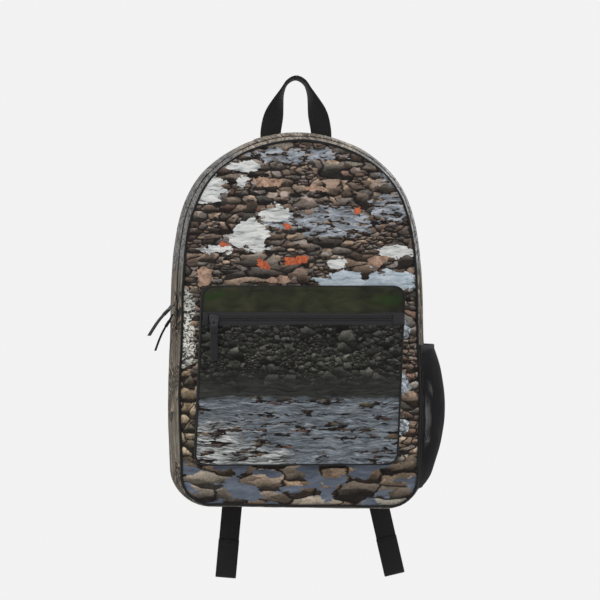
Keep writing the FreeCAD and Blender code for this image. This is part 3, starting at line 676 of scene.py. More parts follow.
def gusset_band(name, front, rear, columns, material, out=0.0, u_from=0.0, u_to=1.0, thick=0.8 * MM):
    """A strip of the gusset between two depths, round all or part of the outline."""
    closed = u_from == 0.0 and u_to == 1.0
    rows = max(8, round(ROUND * (u_to - u_from)))

    def place(u, v):
        return shell_point(along(u_from, u_to, u), along(front, rear, v), out)

    def marks(u, v, _):
        return shell_coords(along(u_from, u_to, u), along(front, rear, v))

    strip = grid_object(name, rows, columns, place, material, marks, closed)
    return thicken(strip, thick)


def bag_shell():
    edge = 4 * MM
    rear = gusset_band("rear_gusset_cloth", ZIP_Y + edge, REAR, 26, MATERIALS["side"])
    riding(rear, BAG, "print_side", "rear_gusset", "lower_gusset")
    foot = u_at_height(ZIP_FOOT)
    joined = gusset_band("lower_gusset_cloth", ZIP_Y - edge - 1 * MM, ZIP_Y + edge + 1 * MM, 5,
                         MATERIALS["side"], out=0.25 * MM, u_from=-foot, u_to=foot)
    riding(joined, BAG, "print_side")
    front = gusset_band("front_gusset_cloth", FRONT, ZIP_Y - edge, 10, MATERIALS["side"])
    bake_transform(front)
    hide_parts("front_gusset_upper")


def front_crown(x, z):
    """How far the filled front stands forward of its seam at a place."""
    across = max(0.0, 1 - (abs(x) / (HALF - SEAM_INSET)) ** 2.6)
    rise = (z - BASE) / (TOP - SEAM_INSET - BASE)
    upward = max(0.0, 1 - abs(2 * rise - 1) ** 3)
    wrinkle = soft_noise((x, 0, z), 0.06, 11.0) * 0.9 + soft_noise((x * 1.6, 0, z), 0.024, 13.0) * 0.5
    return (7.0 * across * upward + wrinkle * min(1.0, 4 * across * upward)) * MM


def front_panel():
    """The printed front, one cloth from seam to seam."""
    rings = 44
    centre = Vector((0, FRONT, ARCH_Z - 0.35 * (ARCH_Z - BASE)))

    def place(u, v):
        edge_point = shell_point(u, FRONT, 0.0)
        flat = centre.lerp(edge_point, v)
        roll = 1.6 * MM * (1 - v) ** 0.5 if v > 0.96 else 1.6 * MM
        return Vector((flat.x, FRONT - front_crown(flat.x, flat.z) - roll + 1.2 * MM, flat.z))

    def marks(u, v, point):
        return (point.x, point.z, 0.0)

    cloth = grid_object("front_panel_cloth", 240, rings, place, MATERIALS["front_upper"], marks,
                        closed=True)
    remove_doubles(cloth)
    cloth.data.materials.append(MATERIALS["front_lower"])
    for polygon in cloth.data.polygons:
        polygon.material_index = int(polygon.center.z < POCKET_HIGH.z - 3 * MM)
    thicken(cloth, 0.8 * MM, offset=1.0)
    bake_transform(cloth)
    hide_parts("front_panel_upper", "front_panel_lower")


def remove_doubles(obj):
    """Merges the points at a fan's centre and turns the faces outwards."""
    work = bmesh.new()
    work.from_mesh(obj.data)
    bmesh.ops.remove_doubles(work, verts=work.verts, dist=0.02 * MM)
    bmesh.ops.recalc_face_normals(work, faces=work.faces)
    work.to_mesh(obj.data)
    work.free()


bag_shell()
front_panel()


# ---------------------------------------------------------------- strips, tubes and stitches
def strip_object(name, spine, across, width, thick, material, closed=False):
    """Webbing or tape along a spine. across holds the direction of its width at each point."""
    half = width / 2
    lip = min(thick, half) / 2
    section = [(-half, 0), (-half + lip, lip), (0, lip), (half - lip, lip),
               (half, 0), (half - lip, -lip), (0, -lip), (-half + lip, -lip)]
    verts = []
    marks = []
    run = 0.0
    count = len(spine)
    for i, point in enumerate(spine):
        before = spine[i - 1] if i or closed else point
        after = spine[(i + 1) % count] if i + 1 < count or closed else point
        run += (point - before).length if i else 0.0
        normal = (after - before).normalized().cross(across[i]).normalized()
        for a, b in section:
            verts.append(point + across[i] * a + normal * b)
            marks.append((a, b, run))
    sides = len(section)
    faces = []
    for i in range(count if closed else count - 1):
        for k in range(sides):
            a = i * sides + k
            b = i * sides + (k + 1) % sides
            after = ((i + 1) % count) * sides
            faces.append((a, b, after + (k + 1) % sides, after + k))
    if not closed:
        faces.append(tuple(reversed(range(sides))))
        faces.append(tuple((count - 1) * sides + k for k in range(sides)))
    return mesh_object(name, verts, faces, material, marks)


def smooth_path(points, steps=8):
    """A Catmull-Rom curve through given points."""
    path = []
    for i in range(len(points) - 1):
        p0 = points[max(0, i - 1)]
        p1, p2 = points[i], points[i + 1]
        p3 = points[min(len(points) - 1, i + 2)]
        for k in range(steps):
            t = k / steps
            path.append(0.5 * (2 * p1 + (p2 - p0) * t + (2 * p0 - 5 * p1 + 4 * p2 - p3) * t * t
                               + (3 * p1 - p0 - 3 * p2 + p3) * t ** 3))
    path.append(points[-1].copy())
    return path


def tube_object(name, path, radius, material, sides=8, closed=False):
    """A round cord along a path that stays roughly in the XZ plane."""
    verts = []
    marks = []
    count = len(path)
    for i, point in enumerate(path):
        after = path[(i + 1) % count] if closed or i + 1 < count else point
        before = path[i - 1] if closed or i else point
        tangent = (after - before).normalized()
        first = tangent.cross(Vector((0, 1, 0))).normalized()
        second = tangent.cross(first)
        for k in range(sides):
            angle = 2 * math.pi * k / sides
            verts.append(point + (first * math.cos(angle) + second * math.sin(angle)) * radius)
            marks.append((k / sides, i * 0.001, 0))
    faces = []
    for i in range(count if closed else count - 1):
        for k in range(sides):
            a, b = i * sides + k, i * sides + (k + 1) % sides
            after = ((i + 1) % count) * sides
            faces.append((a, b, after + (k + 1) % sides, after + k))
    if not closed:
        faces.append(tuple(reversed(range(sides))))
        faces.append(tuple((count - 1) * sides + k for k in range(sides)))
    return mesh_object(name, verts, faces, material, marks)


def merged(name, blocks, material):
    """One mesh from many small (verts, faces) blocks."""
    verts = []
    faces = []
    for block_verts, block_faces in blocks:
        start = len(verts)
        verts += block_verts
        faces += [tuple(start + k for k in face) for face in block_faces]
    return mesh_object(name, verts, faces, material, [tuple(v) for v in verts])


def lozenge(centre, along_axis, side_axis, length, width, height):
    """A small pillow-shaped block: a stitch, or one turn of a zip's coil."""
    up = along_axis.cross(side_axis).normalized()
    verts = []
    for t, scale in ((-0.5, 0.45), (-0.25, 1.0), (0.25, 1.0), (0.5, 0.45)):
        for k in range(6):
            angle = math.pi * (2 * k + 1) / 6
            offset = side_axis * (math.cos(angle) * width / 2) + up * (math.sin(angle) * height / 2)
            verts.append(centre + along_axis * (t * length) + offset * scale)
    faces = [tuple(reversed(range(6))), tuple(18 + k for k in range(6))]
    for ring in range(3):
        for k in range(6):
            a, b = ring * 6 + k, ring * 6 + (k + 1) % 6
            faces.append((a, b, b + 6, a + 6))
    return verts, faces


def stitches(path, normal, pitch=3.2 * MM, length=2.3 * MM, closed=False):
    """Stitch blocks laid end to end along a path, a hair proud of the cloth."""
    blocks = []
    points = path + path[:1] if closed else path
    carry = 0.0
    for start, end in zip(points, points[1:]):
        step = end - start
        span = step.length
        if span < 1e-7:
            continue
        direction = step / span
        where = carry
        while where < span:
            facing = normal(start) if callable(normal) else normal
            side = direction.cross(facing).normalized()
            centre = start + direction * where + facing * (0.12 * MM)
            blocks.append(lozenge(centre, direction, side, length, 0.55 * MM, 0.45 * MM))
            where += pitch
        carry = where - span
    return blocks


FORWARD = Vector((0, -1, 0))
BACKWARD = Vector((0, 1, 0))
UP = Vector((0, 0, 1))
RIGHT = Vector((1, 0, 0))


def blended(obj, slot, *nodes):
    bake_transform(obj)
    if nodes:
        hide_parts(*nodes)
    return obj


# ---------------------------------------------------------------- seams and linings of the main body
def seam_path(y, out, count=ROUND):
    return [shell_point(i / count, y, out) for i in range(count)]


def arch_outward(point):
    """The direction out of the bag: sideways on its straight walls and radial round its arch."""
    if point.z < ARCH_Z:
        return RIGHT if point.x > 0 else -RIGHT
    return Vector((point.x, 0, point.z - ARCH_Z)).normalized()


def body_seams():
    """The rolled seams round the front and back, and the topstitching beside the zip."""
    blended(tube_object("front_seam_cord", seam_path(FRONT - 0.4 * MM, 0.2 * MM), 1.5 * MM,
                        MATERIALS["binding"], closed=True), "binding")
    riding(tube_object("rear_seam_cord", seam_path(REAR - 0.6 * MM, 0.2 * MM), 1.8 * MM,
                       MATERIALS["binding"], closed=True), BAG, "binding")
    legs = (u_at_height(ZIP_FOOT), 1 - u_at_height(ZIP_FOOT))

    def run(y):
        count = 160
        return [shell_point(along(legs[0], legs[1], i / count), y, 0.2 * MM) for i in range(count + 1)]

    rear = merged("zip_topstitch_rear", stitches(run(ZIP_Y + STITCH_GAP), arch_outward),
                  MATERIALS["thread"])
    riding(rear, BAG, "binding")
    front = merged("zip_topstitch_front", stitches(run(ZIP_Y - STITCH_GAP), arch_outward),
                   MATERIALS["thread"])
    blended(front, "binding")


def linings():
    """Black lining inside the gussets and the front, seen when the bag is open."""
    rear = gusset_band("gusset_lining", ZIP_Y + 5 * MM, REAR - 9 * MM, 14, MATERIALS["lining"],
                       out=-1.8 * MM, thick=0.4 * MM)
    riding(rear, BAG, "lining")
    front = gusset_band("front_gusset_lining", FRONT + 2 * MM, ZIP_Y - 5 * MM, 6, MATERIALS["lining"],
                        out=-1.6 * MM, thick=0.4 * MM)
    blended(front, "lining", "seam_binding_front_upper", "seam_binding_front_lower")
    centre = Vector((0, FRONT, ARCH_Z - 0.35 * (ARCH_Z - BASE)))

    def place(u, v):
        flat = centre.lerp(shell_point(u, FRONT, -2.4 * MM), v)
        return Vector((flat.x, FRONT - front_crown(flat.x, flat.z) + 2.2 * MM, flat.z))

    inner = grid_object("front_lining", 160, 26, place, MATERIALS["lining"], closed=True)
    remove_doubles(inner)
    thicken(inner, 0.3 * MM, offset=-1.0)
    blended(inner, "lining")


# ---------------------------------------------------------------- zips
def tooth_row(name, path, across, outward, pitch, reach):
    """Half of a nylon coil: one rounded turn for each pitch along the path."""
    blocks = []
    for i in range(len(path) - 1):
        centre = (path[i] + path[i + 1]) / 2
        facing = outward(centre)
        blocks.append(lozenge(centre + facing * (0.3 * MM), across, facing.cross(across).normalized(),
                              reach, pitch * 0.72, 1.2 * MM))
    return merged(name, blocks, MATERIALS["coil"])


def main_zip():
    foot = u_at_height(ZIP_FOOT)
    count = 620

    for name, sign in (("front", -1), ("rear", 1)):
        y_near = ZIP_Y + sign * 0.35 * MM
        y_far = ZIP_Y + sign * 7.6 * MM
        tape = gusset_band(f"main_zip_tape_{name}_cloth", min(y_near, y_far), max(y_near, y_far), 5,
                           MATERIALS["tape"], out=-1.1 * MM, u_from=foot, u_to=1 - foot,
                           thick=0.6 * MM)
        path = [shell_point(along(foot, 1 - foot, i / count), ZIP_Y + sign * 1.15 * MM, -0.7 * MM)
                for i in range(count + 1)]
        coil = tooth_row(f"main_zip_coil_{name}_turns", path, BACKWARD, arch_outward, 1.28 * MM, 2.5 * MM)
        if sign < 0:
            blended(tape, "zip_tape", "main_zip_tape_front_upper", "main_zip_tape_front_lower")
            blended(coil, "zip_coil", "main_zip_coil_front_upper", "main_zip_coil_front_lower")
        else:
            riding(tape, BAG, "zip_tape", "main_zip_tape_rear")
            riding(coil, BAG, "zip_coil", "main_zip_coil_rear")
    drop = 3.2 * MM / PERIMETER
    for side, u in (("right", foot - drop), ("left", 1 - foot + drop)):
        path = [shell_point(u, along(ZIP_Y - STITCH_GAP, ZIP_Y + STITCH_GAP, i / 6), 0.5 * MM)
                for i in range(7)]
        bar = strip_object(f"main_zip_end_{side}", path, [UP] * 7, 3.6 * MM, 1.0 * MM,
                           plain_cloth(f"end_tape_{side}", (0.5, 0.44, 0.34)))
        riding(bar, BAG, "zip_coil", *(["main_zip_end_stops"] if side == "left" else []))


# ---------------------------------------------------------------- front pocket
POCKET_SHEAR = -9 * MM
POCKET_EDGE = POCKET_FACE + 1.4 * MM
POCKET_ROUND = 13 * MM
POCKET_OPENING = 6.5 * MM


def pocket_shift(z):
    return POCKET_SHEAR * (POCKET_HIGH.z - z) / (POCKET_HIGH.z - POCKET_LOW.z)


def pocket_half(z):
    """The pocket's half width at a height, narrowed where its corners are round."""
    half = (POCKET_HIGH.x - POCKET_LOW.x) / 2
    near = min(z - POCKET_LOW.z, POCKET_HIGH.z - z)
    if near < POCKET_ROUND:
        rest = POCKET_ROUND - max(0.0, near)
        half += math.sqrt(max(0.0, POCKET_ROUND ** 2 - rest ** 2)) - POCKET_ROUND
    return half


def pocket_place(a, z, out=0.0):
    """A point on the pocket's face: a from -1 at its left edge to 1 at its right edge."""
    centre = (POCKET_HIGH.x + POCKET_LOW.x) / 2 + pocket_shift(z)
    x = centre + a * pocket_half(z)
    below = (POCKET_ZIP - POCKET_OPENING - z) / (POCKET_ZIP - POCKET_OPENING - POCKET_LOW.z)
    above = (z - POCKET_ZIP - POCKET_OPENING) / (POCKET_HIGH.z - POCKET_ZIP - POCKET_OPENING)
    share = below if below > 0 else max(0.0, above)
    swell = (4.6 if below > 0 else 0.6) * MM * max(0.0, 1 - abs(2 * share - 1) ** 2.4) * (1 - a ** 4)
    wrinkle = soft_noise((x, 0, z), 0.045, 21.0) + 0.5 * soft_noise((x, 0, 2.2 * z), 0.022, 23.0)
    calm = min(1.0, 6 * (1 - abs(a))) * min(1.0, 5 * min(share, 1 - share) + 0.15)
    edge = 3.4 * MM * (abs(a) ** 26)
    end = max(0.0, abs(2 * share - 1) - 0.93) / 0.07 if share else 0.0
    fold = 2.6 * MM * end ** 2 if (below > 0.5 or above > 0.5) else 0.0
    y = POCKET_EDGE - swell - wrinkle * 0.9 * MM * calm + edge + fold - out
    return Vector((x, y, z))


def pocket_sheet(name, bottom, top, rows, columns, material, slot, *nodes):
    def place(u, v):
        return pocket_place(2 * v - 1, along(bottom, top, u))

    def marks(u, v, point):
        return (point.x, point.z, 0.3)

    cloth = grid_object(name, rows, columns, place, material, marks)
    turn_outwards(cloth, FORWARD)
    thicken(cloth, 0.9 * MM)
    return riding(cloth, BAG, slot, *nodes)


def turn_outwards(obj, direction):
    """Flips a sheet whose faces point away from direction."""
    total = sum((p.normal * p.area for p in obj.data.polygons), Vector())
    if total.dot(direction) < 0:
        obj.data.flip_normals()


def pocket_outline(inset=0.0, count=16):
    """The pocket's edge as a closed loop of (x, z) places, from its lower left corner."""
    half = (POCKET_HIGH.x - POCKET_LOW.x) / 2 - inset
    middle = (POCKET_HIGH.x + POCKET_LOW.x) / 2
    corners = ((1, 1, 0.0), (-1, 1, 90.0), (-1, -1, 180.0), (1, -1, 270.0))
    centre_z = (POCKET_HIGH.z + POCKET_LOW.z) / 2
    half_z = (POCKET_HIGH.z - POCKET_LOW.z) / 2 - inset
    radius = POCKET_ROUND - inset
    loop = []
    for sx, sz, start in corners:
        for i in range(count + 1):
            angle = math.radians(start + 90 * i / count)
            x = sx * (half - radius) + radius * math.cos(angle)
            z = centre_z + sz * (half_z - radius) + radius * math.sin(angle)
            loop.append((middle + x, z))
    filled = []
    for (x0, z0), (x1, z1) in zip(loop, loop[1:] + loop[:1]):
        steps = max(1, round(math.hypot(x1 - x0, z1 - z0) / (4 * MM)))
        filled += [(along(x0, x1, k / steps), along(z0, z1, k / steps)) for k in range(steps)]
    return [(x + pocket_shift(z), z) for x, z in filled]


def front_pocket():
    gap = POCKET_OPENING
    pocket_sheet("pocket_face_cloth", POCKET_LOW.z, POCKET_ZIP - gap, 80, 110, MATERIALS["pocket"],
                 "print_front", "pocket_panel")
    pocket_sheet("pocket_hood_cloth", POCKET_ZIP + gap, POCKET_HIGH.z, 24, 110, MATERIALS["hood"],
                 "print_front", "pocket_hood")
    outer = pocket_outline()
    inner = pocket_outline(2.2 * MM)
    depth_steps = 9

    def place(u, v):
        index = round(u * len(outer)) % len(outer)
        (x0, z0), (x1, z1) = outer[index], inner[index]
        face = POCKET_EDGE + 3.0 * MM
        foot = FRONT - front_crown(x0, z0) - 0.2 * MM
        bow = math.sin(math.pi * v) * 0.9 * MM
        roll = max(0.0, v - 0.8) / 0.2
        x, z = along(x0, x1, roll * 0.5), along(z0, z1, roll * 0.5)
        outward = Vector((x0 - x1, 0, z0 - z1)).normalized() if (x0, z0) != (x1, z1) else UP
        return Vector((x, along(foot, face, v), z)) + outward * bow

    def marks(u, v, point):
        return (point.x - point.y, point.z, 0.3)

    rim = grid_object("pocket_side_cloth", len(outer), depth_steps, place, MATERIALS["hood"], marks,
                      closed=True)
    thicken(rim, 0.8 * MM, offset=-1.0)
    riding(rim, BAG, "print_front", "pocket_gusset")
    edge = [Vector((x, POCKET_EDGE + 2.6 * MM, z)) for x, z in pocket_outline(0.7 * MM)]
    riding(tube_object("pocket_edge_seam", edge, 1.25 * MM, MATERIALS["binding"], closed=True),
           BAG, "binding")
    foot = [Vector((x, FRONT - front_crown(x, z) - 0.5 * MM, z)) for x, z in pocket_outline(-0.6 * MM)]
    riding(tube_object("pocket_foot_seam", foot, 0.9 * MM, MATERIALS["binding"], closed=True),
           BAG, "binding")
    lines = []
    for z, inset in ((POCKET_ZIP - gap - 2 * MM, 0.985), (POCKET_ZIP + gap + 2 * MM, 0.985),
                     (POCKET_HIGH.z - 5 * MM, 0.93)):
        path = [pocket_place(along(-inset, inset, i / 60), z, 0.1 * MM) for i in range(61)]
        lines += stitches(path, FORWARD)
    riding(merged("pocket_topstitch", lines, MATERIALS["thread"]), BAG, "binding")


def pocket_zip():
    left = POCKET_LOW.x + 2 * MM
    right = POCKET_HIGH.x - 2 * MM
    y = POCKET_EDGE + 0.3 * MM
    count = 180
    for name, sign in (("lower", -1), ("upper", 1)):
        middle = POCKET_ZIP + sign * 4.2 * MM
        path = [Vector((along(left, right, i / 40) + pocket_shift(middle), y, middle)) for i in range(41)]
        tape = strip_object(f"pocket_zip_tape_{name}_cloth", path, [UP] * 41, 7.4 * MM, 0.7 * MM,
                            MATERIALS["tape"])
        riding(tape, BAG, "zip_tape", f"pocket_zip_tape_{name}")
        path = [Vector((along(left + 8 * MM, right - 12 * MM, i / count), y - 0.6 * MM,
                        POCKET_ZIP + sign * 1.1 * MM)) for i in range(count + 1)]
        coil = tooth_row(f"pocket_zip_coil_{name}_turns", path, UP, lambda _: FORWARD, 1.25 * MM,
                         2.4 * MM)
        riding(coil, BAG, "zip_coil", f"pocket_zip_coil_{name}")
    tab_low, tab_high = low("pocket_zip_end_tab"), high("pocket_zip_end_tab")
    path = [Vector((along(tab_low.x, tab_high.x - 1.5 * MM, i / 6),
                    tab_low.y + 0.9 * MM + (1.2 * MM if i == 6 else 0), POCKET_ZIP)) for i in range(7)]
    tab = strip_object("pocket_zip_end_cover", path, [UP] * 7, 12.4 * MM, 1.1 * MM, MATERIALS["tape"])
    riding(tab, BAG, "zip_tape", "pocket_zip_end_tab")
    path = [Vector((along(left - 1 * MM, left + 5 * MM, i / 4), tab_low.y + 0.9 * MM, POCKET_ZIP))
            for i in range(5)]
    riding(strip_object("pocket_zip_start_cover", path, [UP] * 5, 12.0 * MM, 1.0 * MM,
                        MATERIALS["tape"]), BAG, "zip_tape")


# ---------------------------------------------------------------- joints and filled pads
JOINTS = {joint["name"]: joint for joint in frame["joints"]}


def pivot(name):
    return Vector(JOINTS[name]["pos_m"])


def pillow(name, rows, columns, middle, normal, half_thick, material):
    """Two cloths sewn together round their edge. Returns the piece and the places of its seam."""
    def number(i, j, side):
        on_edge = i in (0, rows - 1) or j in (0, columns - 1)
        return (i, j, 0 if on_edge else side)

    verts = []
    marks = []
    numbers = {}
    seam = []
    for side in (1, -1):
        for i in range(rows):
            for j in range(columns):
                key = number(i, j, side)
                if key in numbers:
                    continue
                u, v = i / (rows - 1), j / (columns - 1)
                across = max(0.0, 1 - abs(2 * v - 1) ** 3.2) ** 0.5
                lengthwise = max(0.0, 1 - abs(2 * u - 1) ** 14) ** 0.5
                point = middle(u, v) + normal(u) * (side * half_thick * across * lengthwise)
                numbers[key] = len(verts)
                if key[2] == 0:
                    seam.append(len(verts))
                verts.append(point)
                marks.append((v * 0.06, u * 0.3, side * 0.1))
    faces = []
    for side in (1, -1):
        for i in range(rows - 1):
            for j in range(columns - 1):
                ring = [numbers[number(*corner, side)] for corner in
                        ((i, j), (i + 1, j), (i + 1, j + 1), (i, j + 1))]
                faces.append(tuple(ring if side > 0 else reversed(ring)))
    return mesh_object(name, verts, faces, material, marks), seam


def inflate(obj, seam, pressure, most):
    """Fills a sewn pad by cloth simulation with its seam held, then smooths it once."""
    home = [v.co.copy() for v in obj.data.vertices]
    held = obj.vertex_groups.new(name="seam")
    held.add(seam, 1.0, "REPLACE")
    filling = obj.modifiers.new("filling", "CLOTH")
    filling.point_cache.frame_start = 1
    filling.point_cache.frame_end = 20
    cloth = filling.settings
    cloth.quality = 6
    cloth.mass = 0.25
    cloth.bending_stiffness = 1.5
    cloth.use_pressure = True
    cloth.uniform_pressure_force = pressure
    cloth.effector_weights.gravity = 0
    cloth.vertex_group_mass = "seam"
    for moment in range(1, 21):
        bpy.context.scene.frame_set(moment)
    apply_modifiers(obj)
    bpy.context.scene.frame_set(1)
    for vertex, start in zip(obj.data.vertices, home):
        moved = vertex.co - start
        if moved.length > most:
            vertex.co = start + moved * (most / moved.length)
    finer = obj.modifiers.new("smoothing", "SUBSURF")
    finer.levels = 1
    apply_modifiers(obj)
    for polygon in obj.data.polygons:
        polygon.use_smooth = True
    return obj


def laid_on(obj, path, direction, lift=0.0):
    """The path dropped onto a piece along a direction, and raised off it by lift."""
    laid = []
    for point in path:
        hit, place, _, _ = obj.ray_cast(point - direction * 0.08, direction)
        laid.append((place if hit else point) - direction * lift)
    return laid


def soft_block(name, low_corner, high_corner, radius, swell, material):
    """A small stuffed or folded cloth tab with rounded edges, standing in the XZ plane."""
    centre = (low_corner + high_corner) / 2
    half = (high_corner - low_corner) / 2

    def middle(u, v):
        x = (2 * v - 1) * half.x
        z = (2 * u - 1) * half.z
        cut = max(0.0, abs(z) - (half.z - radius))
        x *= 1 - (radius - math.sqrt(max(0.0, radius ** 2 - cut ** 2))) / half.x
        return centre + Vector((x, 0, z))

    return pillow(name, 18, 22, middle, lambda u: BACKWARD, half.y * swell, material)


# ---------------------------------------------------------------- zip sliders and pulls
def slider_object(name, centre, nose, out, length, depth):
    """A lacquered zip slider: two shield-shaped plates, a neck at the nose and an arched bridge."""
    side = nose.cross(out).normalized()
    shield = [(0.5, 0.2), (0.46, 0.36), (0.28, 0.5), (0.0, 0.47), (-0.4, 0.34), (-0.5, 0.26),
              (-0.5, -0.26), (-0.4, -0.34), (0.0, -0.47), (0.28, -0.5), (0.46, -0.36), (0.5, -0.2)]
    blocks = []

    def plate(level, thick):
        count = len(shield)
        verts = [centre + nose * (a * length) + side * (b * length) + out * (level + rise)
                 for rise in (-thick / 2, thick / 2) for a, b in shield]
        faces = [tuple(reversed(range(count))), tuple(range(count, 2 * count))]
        faces += [(k, (k + 1) % count, (k + 1) % count + count, k + count) for k in range(count)]
        blocks.append((verts, faces))

    plate(0.0, 1.5 * MM)
    plate(-depth, 1.5 * MM)
    neck = centre + nose * (0.34 * length) - out * (depth / 2)
    blocks.append(lozenge(neck, out, side, depth, 1.2 * MM, 2.2 * MM))
    arch = [centre + nose * (math.cos(math.pi * k / 10) * 0.3 * length)
            + out * (0.5 * MM + math.sin(math.pi * k / 10) * 2.6 * MM) for k in range(11)]
    for start, end in zip(arch, arch[1:]):
        blocks.append(lozenge((start + end) / 2, (end - start).normalized(), side,
                              (end - start).length * 2.2, 2.6 * MM, 1.1 * MM))
    piece = merged(name, blocks, MATERIALS["metal"])
    rounding = piece.modifiers.new("rounding", "BEVEL")
    rounding.width = 0.35 * MM
    rounding.segments = 2
    rounding.angle_limit = math.radians(40)
    apply_modifiers(piece)
    return piece


def pull_ribbon(name, body, joint, node):
    """A grosgrain ribbon, doubled where it is sewn round the metal tab, with a slight curl."""
    hinge = pivot(joint)
    box_middle = (low(node) + high(node)) / 2
    direction = (box_middle - hinge).normalized()
    level = Vector((-direction.y, direction.x, 0))
    across = level.normalized() if level.length > 0.05 else RIGHT
    facing = direction.cross(across).normalized()
    length = 2 * ((box_middle - hinge).length - 9.1 * MM)
    count = 24
    path = []
    for i in range(count + 1):
        t = i / count
        curl = math.sin(t * math.pi * 1.15) * 1.3 * MM
        path.append(hinge + direction * (8.6 * MM + length * t) + facing * curl)
    width = 8.4 * MM
    ribbon = strip_object(name, path, [across] * (count + 1), width, 1.2 * MM, MATERIALS["ribbon"])
    riding(ribbon, body, "ribbon", node)
    collar = strip_object(f"{name}_collar", path[:6], [across] * 6, width + 0.5 * MM, 2.5 * MM,
                          MATERIALS["ribbon"])
    riding(collar, body, "ribbon")
    lines = []
    for place in (path[5], path[1]):
        ends = [place + across * (width * side) - facing * (1.3 * MM) for side in (-0.4, 0.4)]
        lines += stitches(ends, -facing, pitch=1.7 * MM, length=1.2 * MM)
    riding(merged(f"{name}_stitches", lines, MATERIALS["thread"]), body, "ribbon")


def sliders_and_pulls():
    for name, nose in (("lower", UP), ("upper", -UP)):
        node = f"main_slider_{name}"
        centre = (low(node) + high(node)) / 2
        centre.x = low(node).x + 2.4 * MM
        depth = high(node).x - centre.x - 0.8 * MM
        piece = slider_object(f"{node}_metal", centre, nose, -RIGHT, 11 * MM, depth)
        riding(piece, node, "slider_metal", node)
        pull_ribbon(f"main_pull_{name}_cloth", f"main_pull_{name}", f"main_pull_{name}_swing",
                    f"main_pull_{name}_ribbon")
    centre = (low("pocket_slider") + high("pocket_slider")) / 2
    centre.y = low("pocket_slider").y + 2.4 * MM
    depth = high("pocket_slider").y - centre.y - 0.8 * MM
    piece = slider_object("pocket_slider_metal", centre, RIGHT * -1, FORWARD, 11 * MM, depth)
    riding(piece, "pocket_slider", "slider_metal", "pocket_slider")
    pull_ribbon("pocket_pull_cloth", "pocket_pull", "pocket_pull_swing", "pocket_pull_ribbon")


# ---------------------------------------------------------------- grab handle
def handle():
    pivot_z = pivot("grab_handle_fold").z
    foot_x = high("handle_feet").x - WEBBING / 2
    half_leg = [(foot_x + 0.3 * MM, pivot_z - 9 * MM), (foot_x, pivot_z + 3 * MM),
                (foot_x * 0.9, pivot_z + 19 * MM), (foot_x * 0.71, pivot_z + 38 * MM),
                (foot_x * 0.53, pivot_z + 52 * MM), (foot_x * 0.33, pivot_z + 62.2 * MM)]
    crown = [Vector((0, 0, 1.0 * MM))]
    right = [Vector((x, 0, z)) for x, z in half_leg]
    left = [Vector((-x, 0, z)) for x, z in half_leg]
    path = smooth_path(left + crown + right[::-1], steps=10)
    top = high("grab_handle").z
    across = []
    for i, point in enumerate(path):
        before, after = path[max(0, i - 1)], path[min(len(path) - 1, i + 1)]
        tangent = (after - before).normalized()
        flat = Vector((tangent.z, 0, -tangent.x))
        turn = math.radians(84) * ease((point.z - pivot_z - 4 * MM) / (top - pivot_z - 12 * MM))
        across.append(flat * math.cos(turn) + BACKWARD * math.sin(turn))
    loop = strip_object("handle_webbing", path, across, WEBBING, 2.0 * MM, MATERIALS["webbing"])
    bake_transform(loop)
    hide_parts("grab_handle", "handle_feet")
    reach = high("handle_patch").x / PERIMETER
    patch = gusset_band("handle_patch_cloth", low("handle_patch").y, high("handle_patch").y, 14,
                        MATERIALS["side"], out=1.0 * MM, u_from=0.5 - reach, u_to=0.5 + reach,
                        thick=0.9 * MM)
    riding(patch, BAG, "print_side", "handle_patch")
    ring = []
    for y in (low("handle_patch").y + 2 * MM, high("handle_patch").y - 2 * MM):
        line = [shell_point(0.5 + reach * (i / 20 - 1) * 0.94, y, 1.1 * MM) for i in range(41)]
        ring += stitches(line, UP)
    for side in (-1, 1):
        line = [shell_point(0.5 + side * reach * 0.94, along(low("handle_patch").y, high("handle_patch").y,
                                                              0.06 + 0.88 * i / 12), 1.1 * MM)
                for i in range(13)]
        ring += stitches(line, UP)
    riding(merged("handle_patch_stitches", ring, MATERIALS["thread"]), BAG, "binding")


# ---------------------------------------------------------------- mesh bottle pocket
def bulge_place(s, t, out=0.0):
    """A point on the bottle pocket: s from its front edge to its rear edge, t from foot to mouth."""
    y = along(low("side_mesh_pocket").y, high("side_mesh_pocket").y, s)
    z = along(low("side_mesh_pocket").z, high("side_mesh_pocket").z, t)
    reach = high("side_mesh_pocket").x - HALF - 1 * MM
    belly = 1 - abs(2 * s - 1) ** 2.8
    rise = 0.34 * t + 0.86 * math.sin(math.pi * min(1.0, t * 0.96 + 0.02)) ** 0.8
    slump = 0.9 * MM * soft_noise((0, y, z), 0.03, 31.0) * belly
    skin = shell_point(u_at_height(max(z, BASE + CORNER)), y, 1.2 * MM)
    foot_cut = max(0.0, BASE + CORNER - z)
    corner = CORNER - math.sqrt(max(0.0, CORNER ** 2 - foot_cut ** 2))
    return Vector((skin.x - corner + reach * belly * rise + slump + out, y, z))


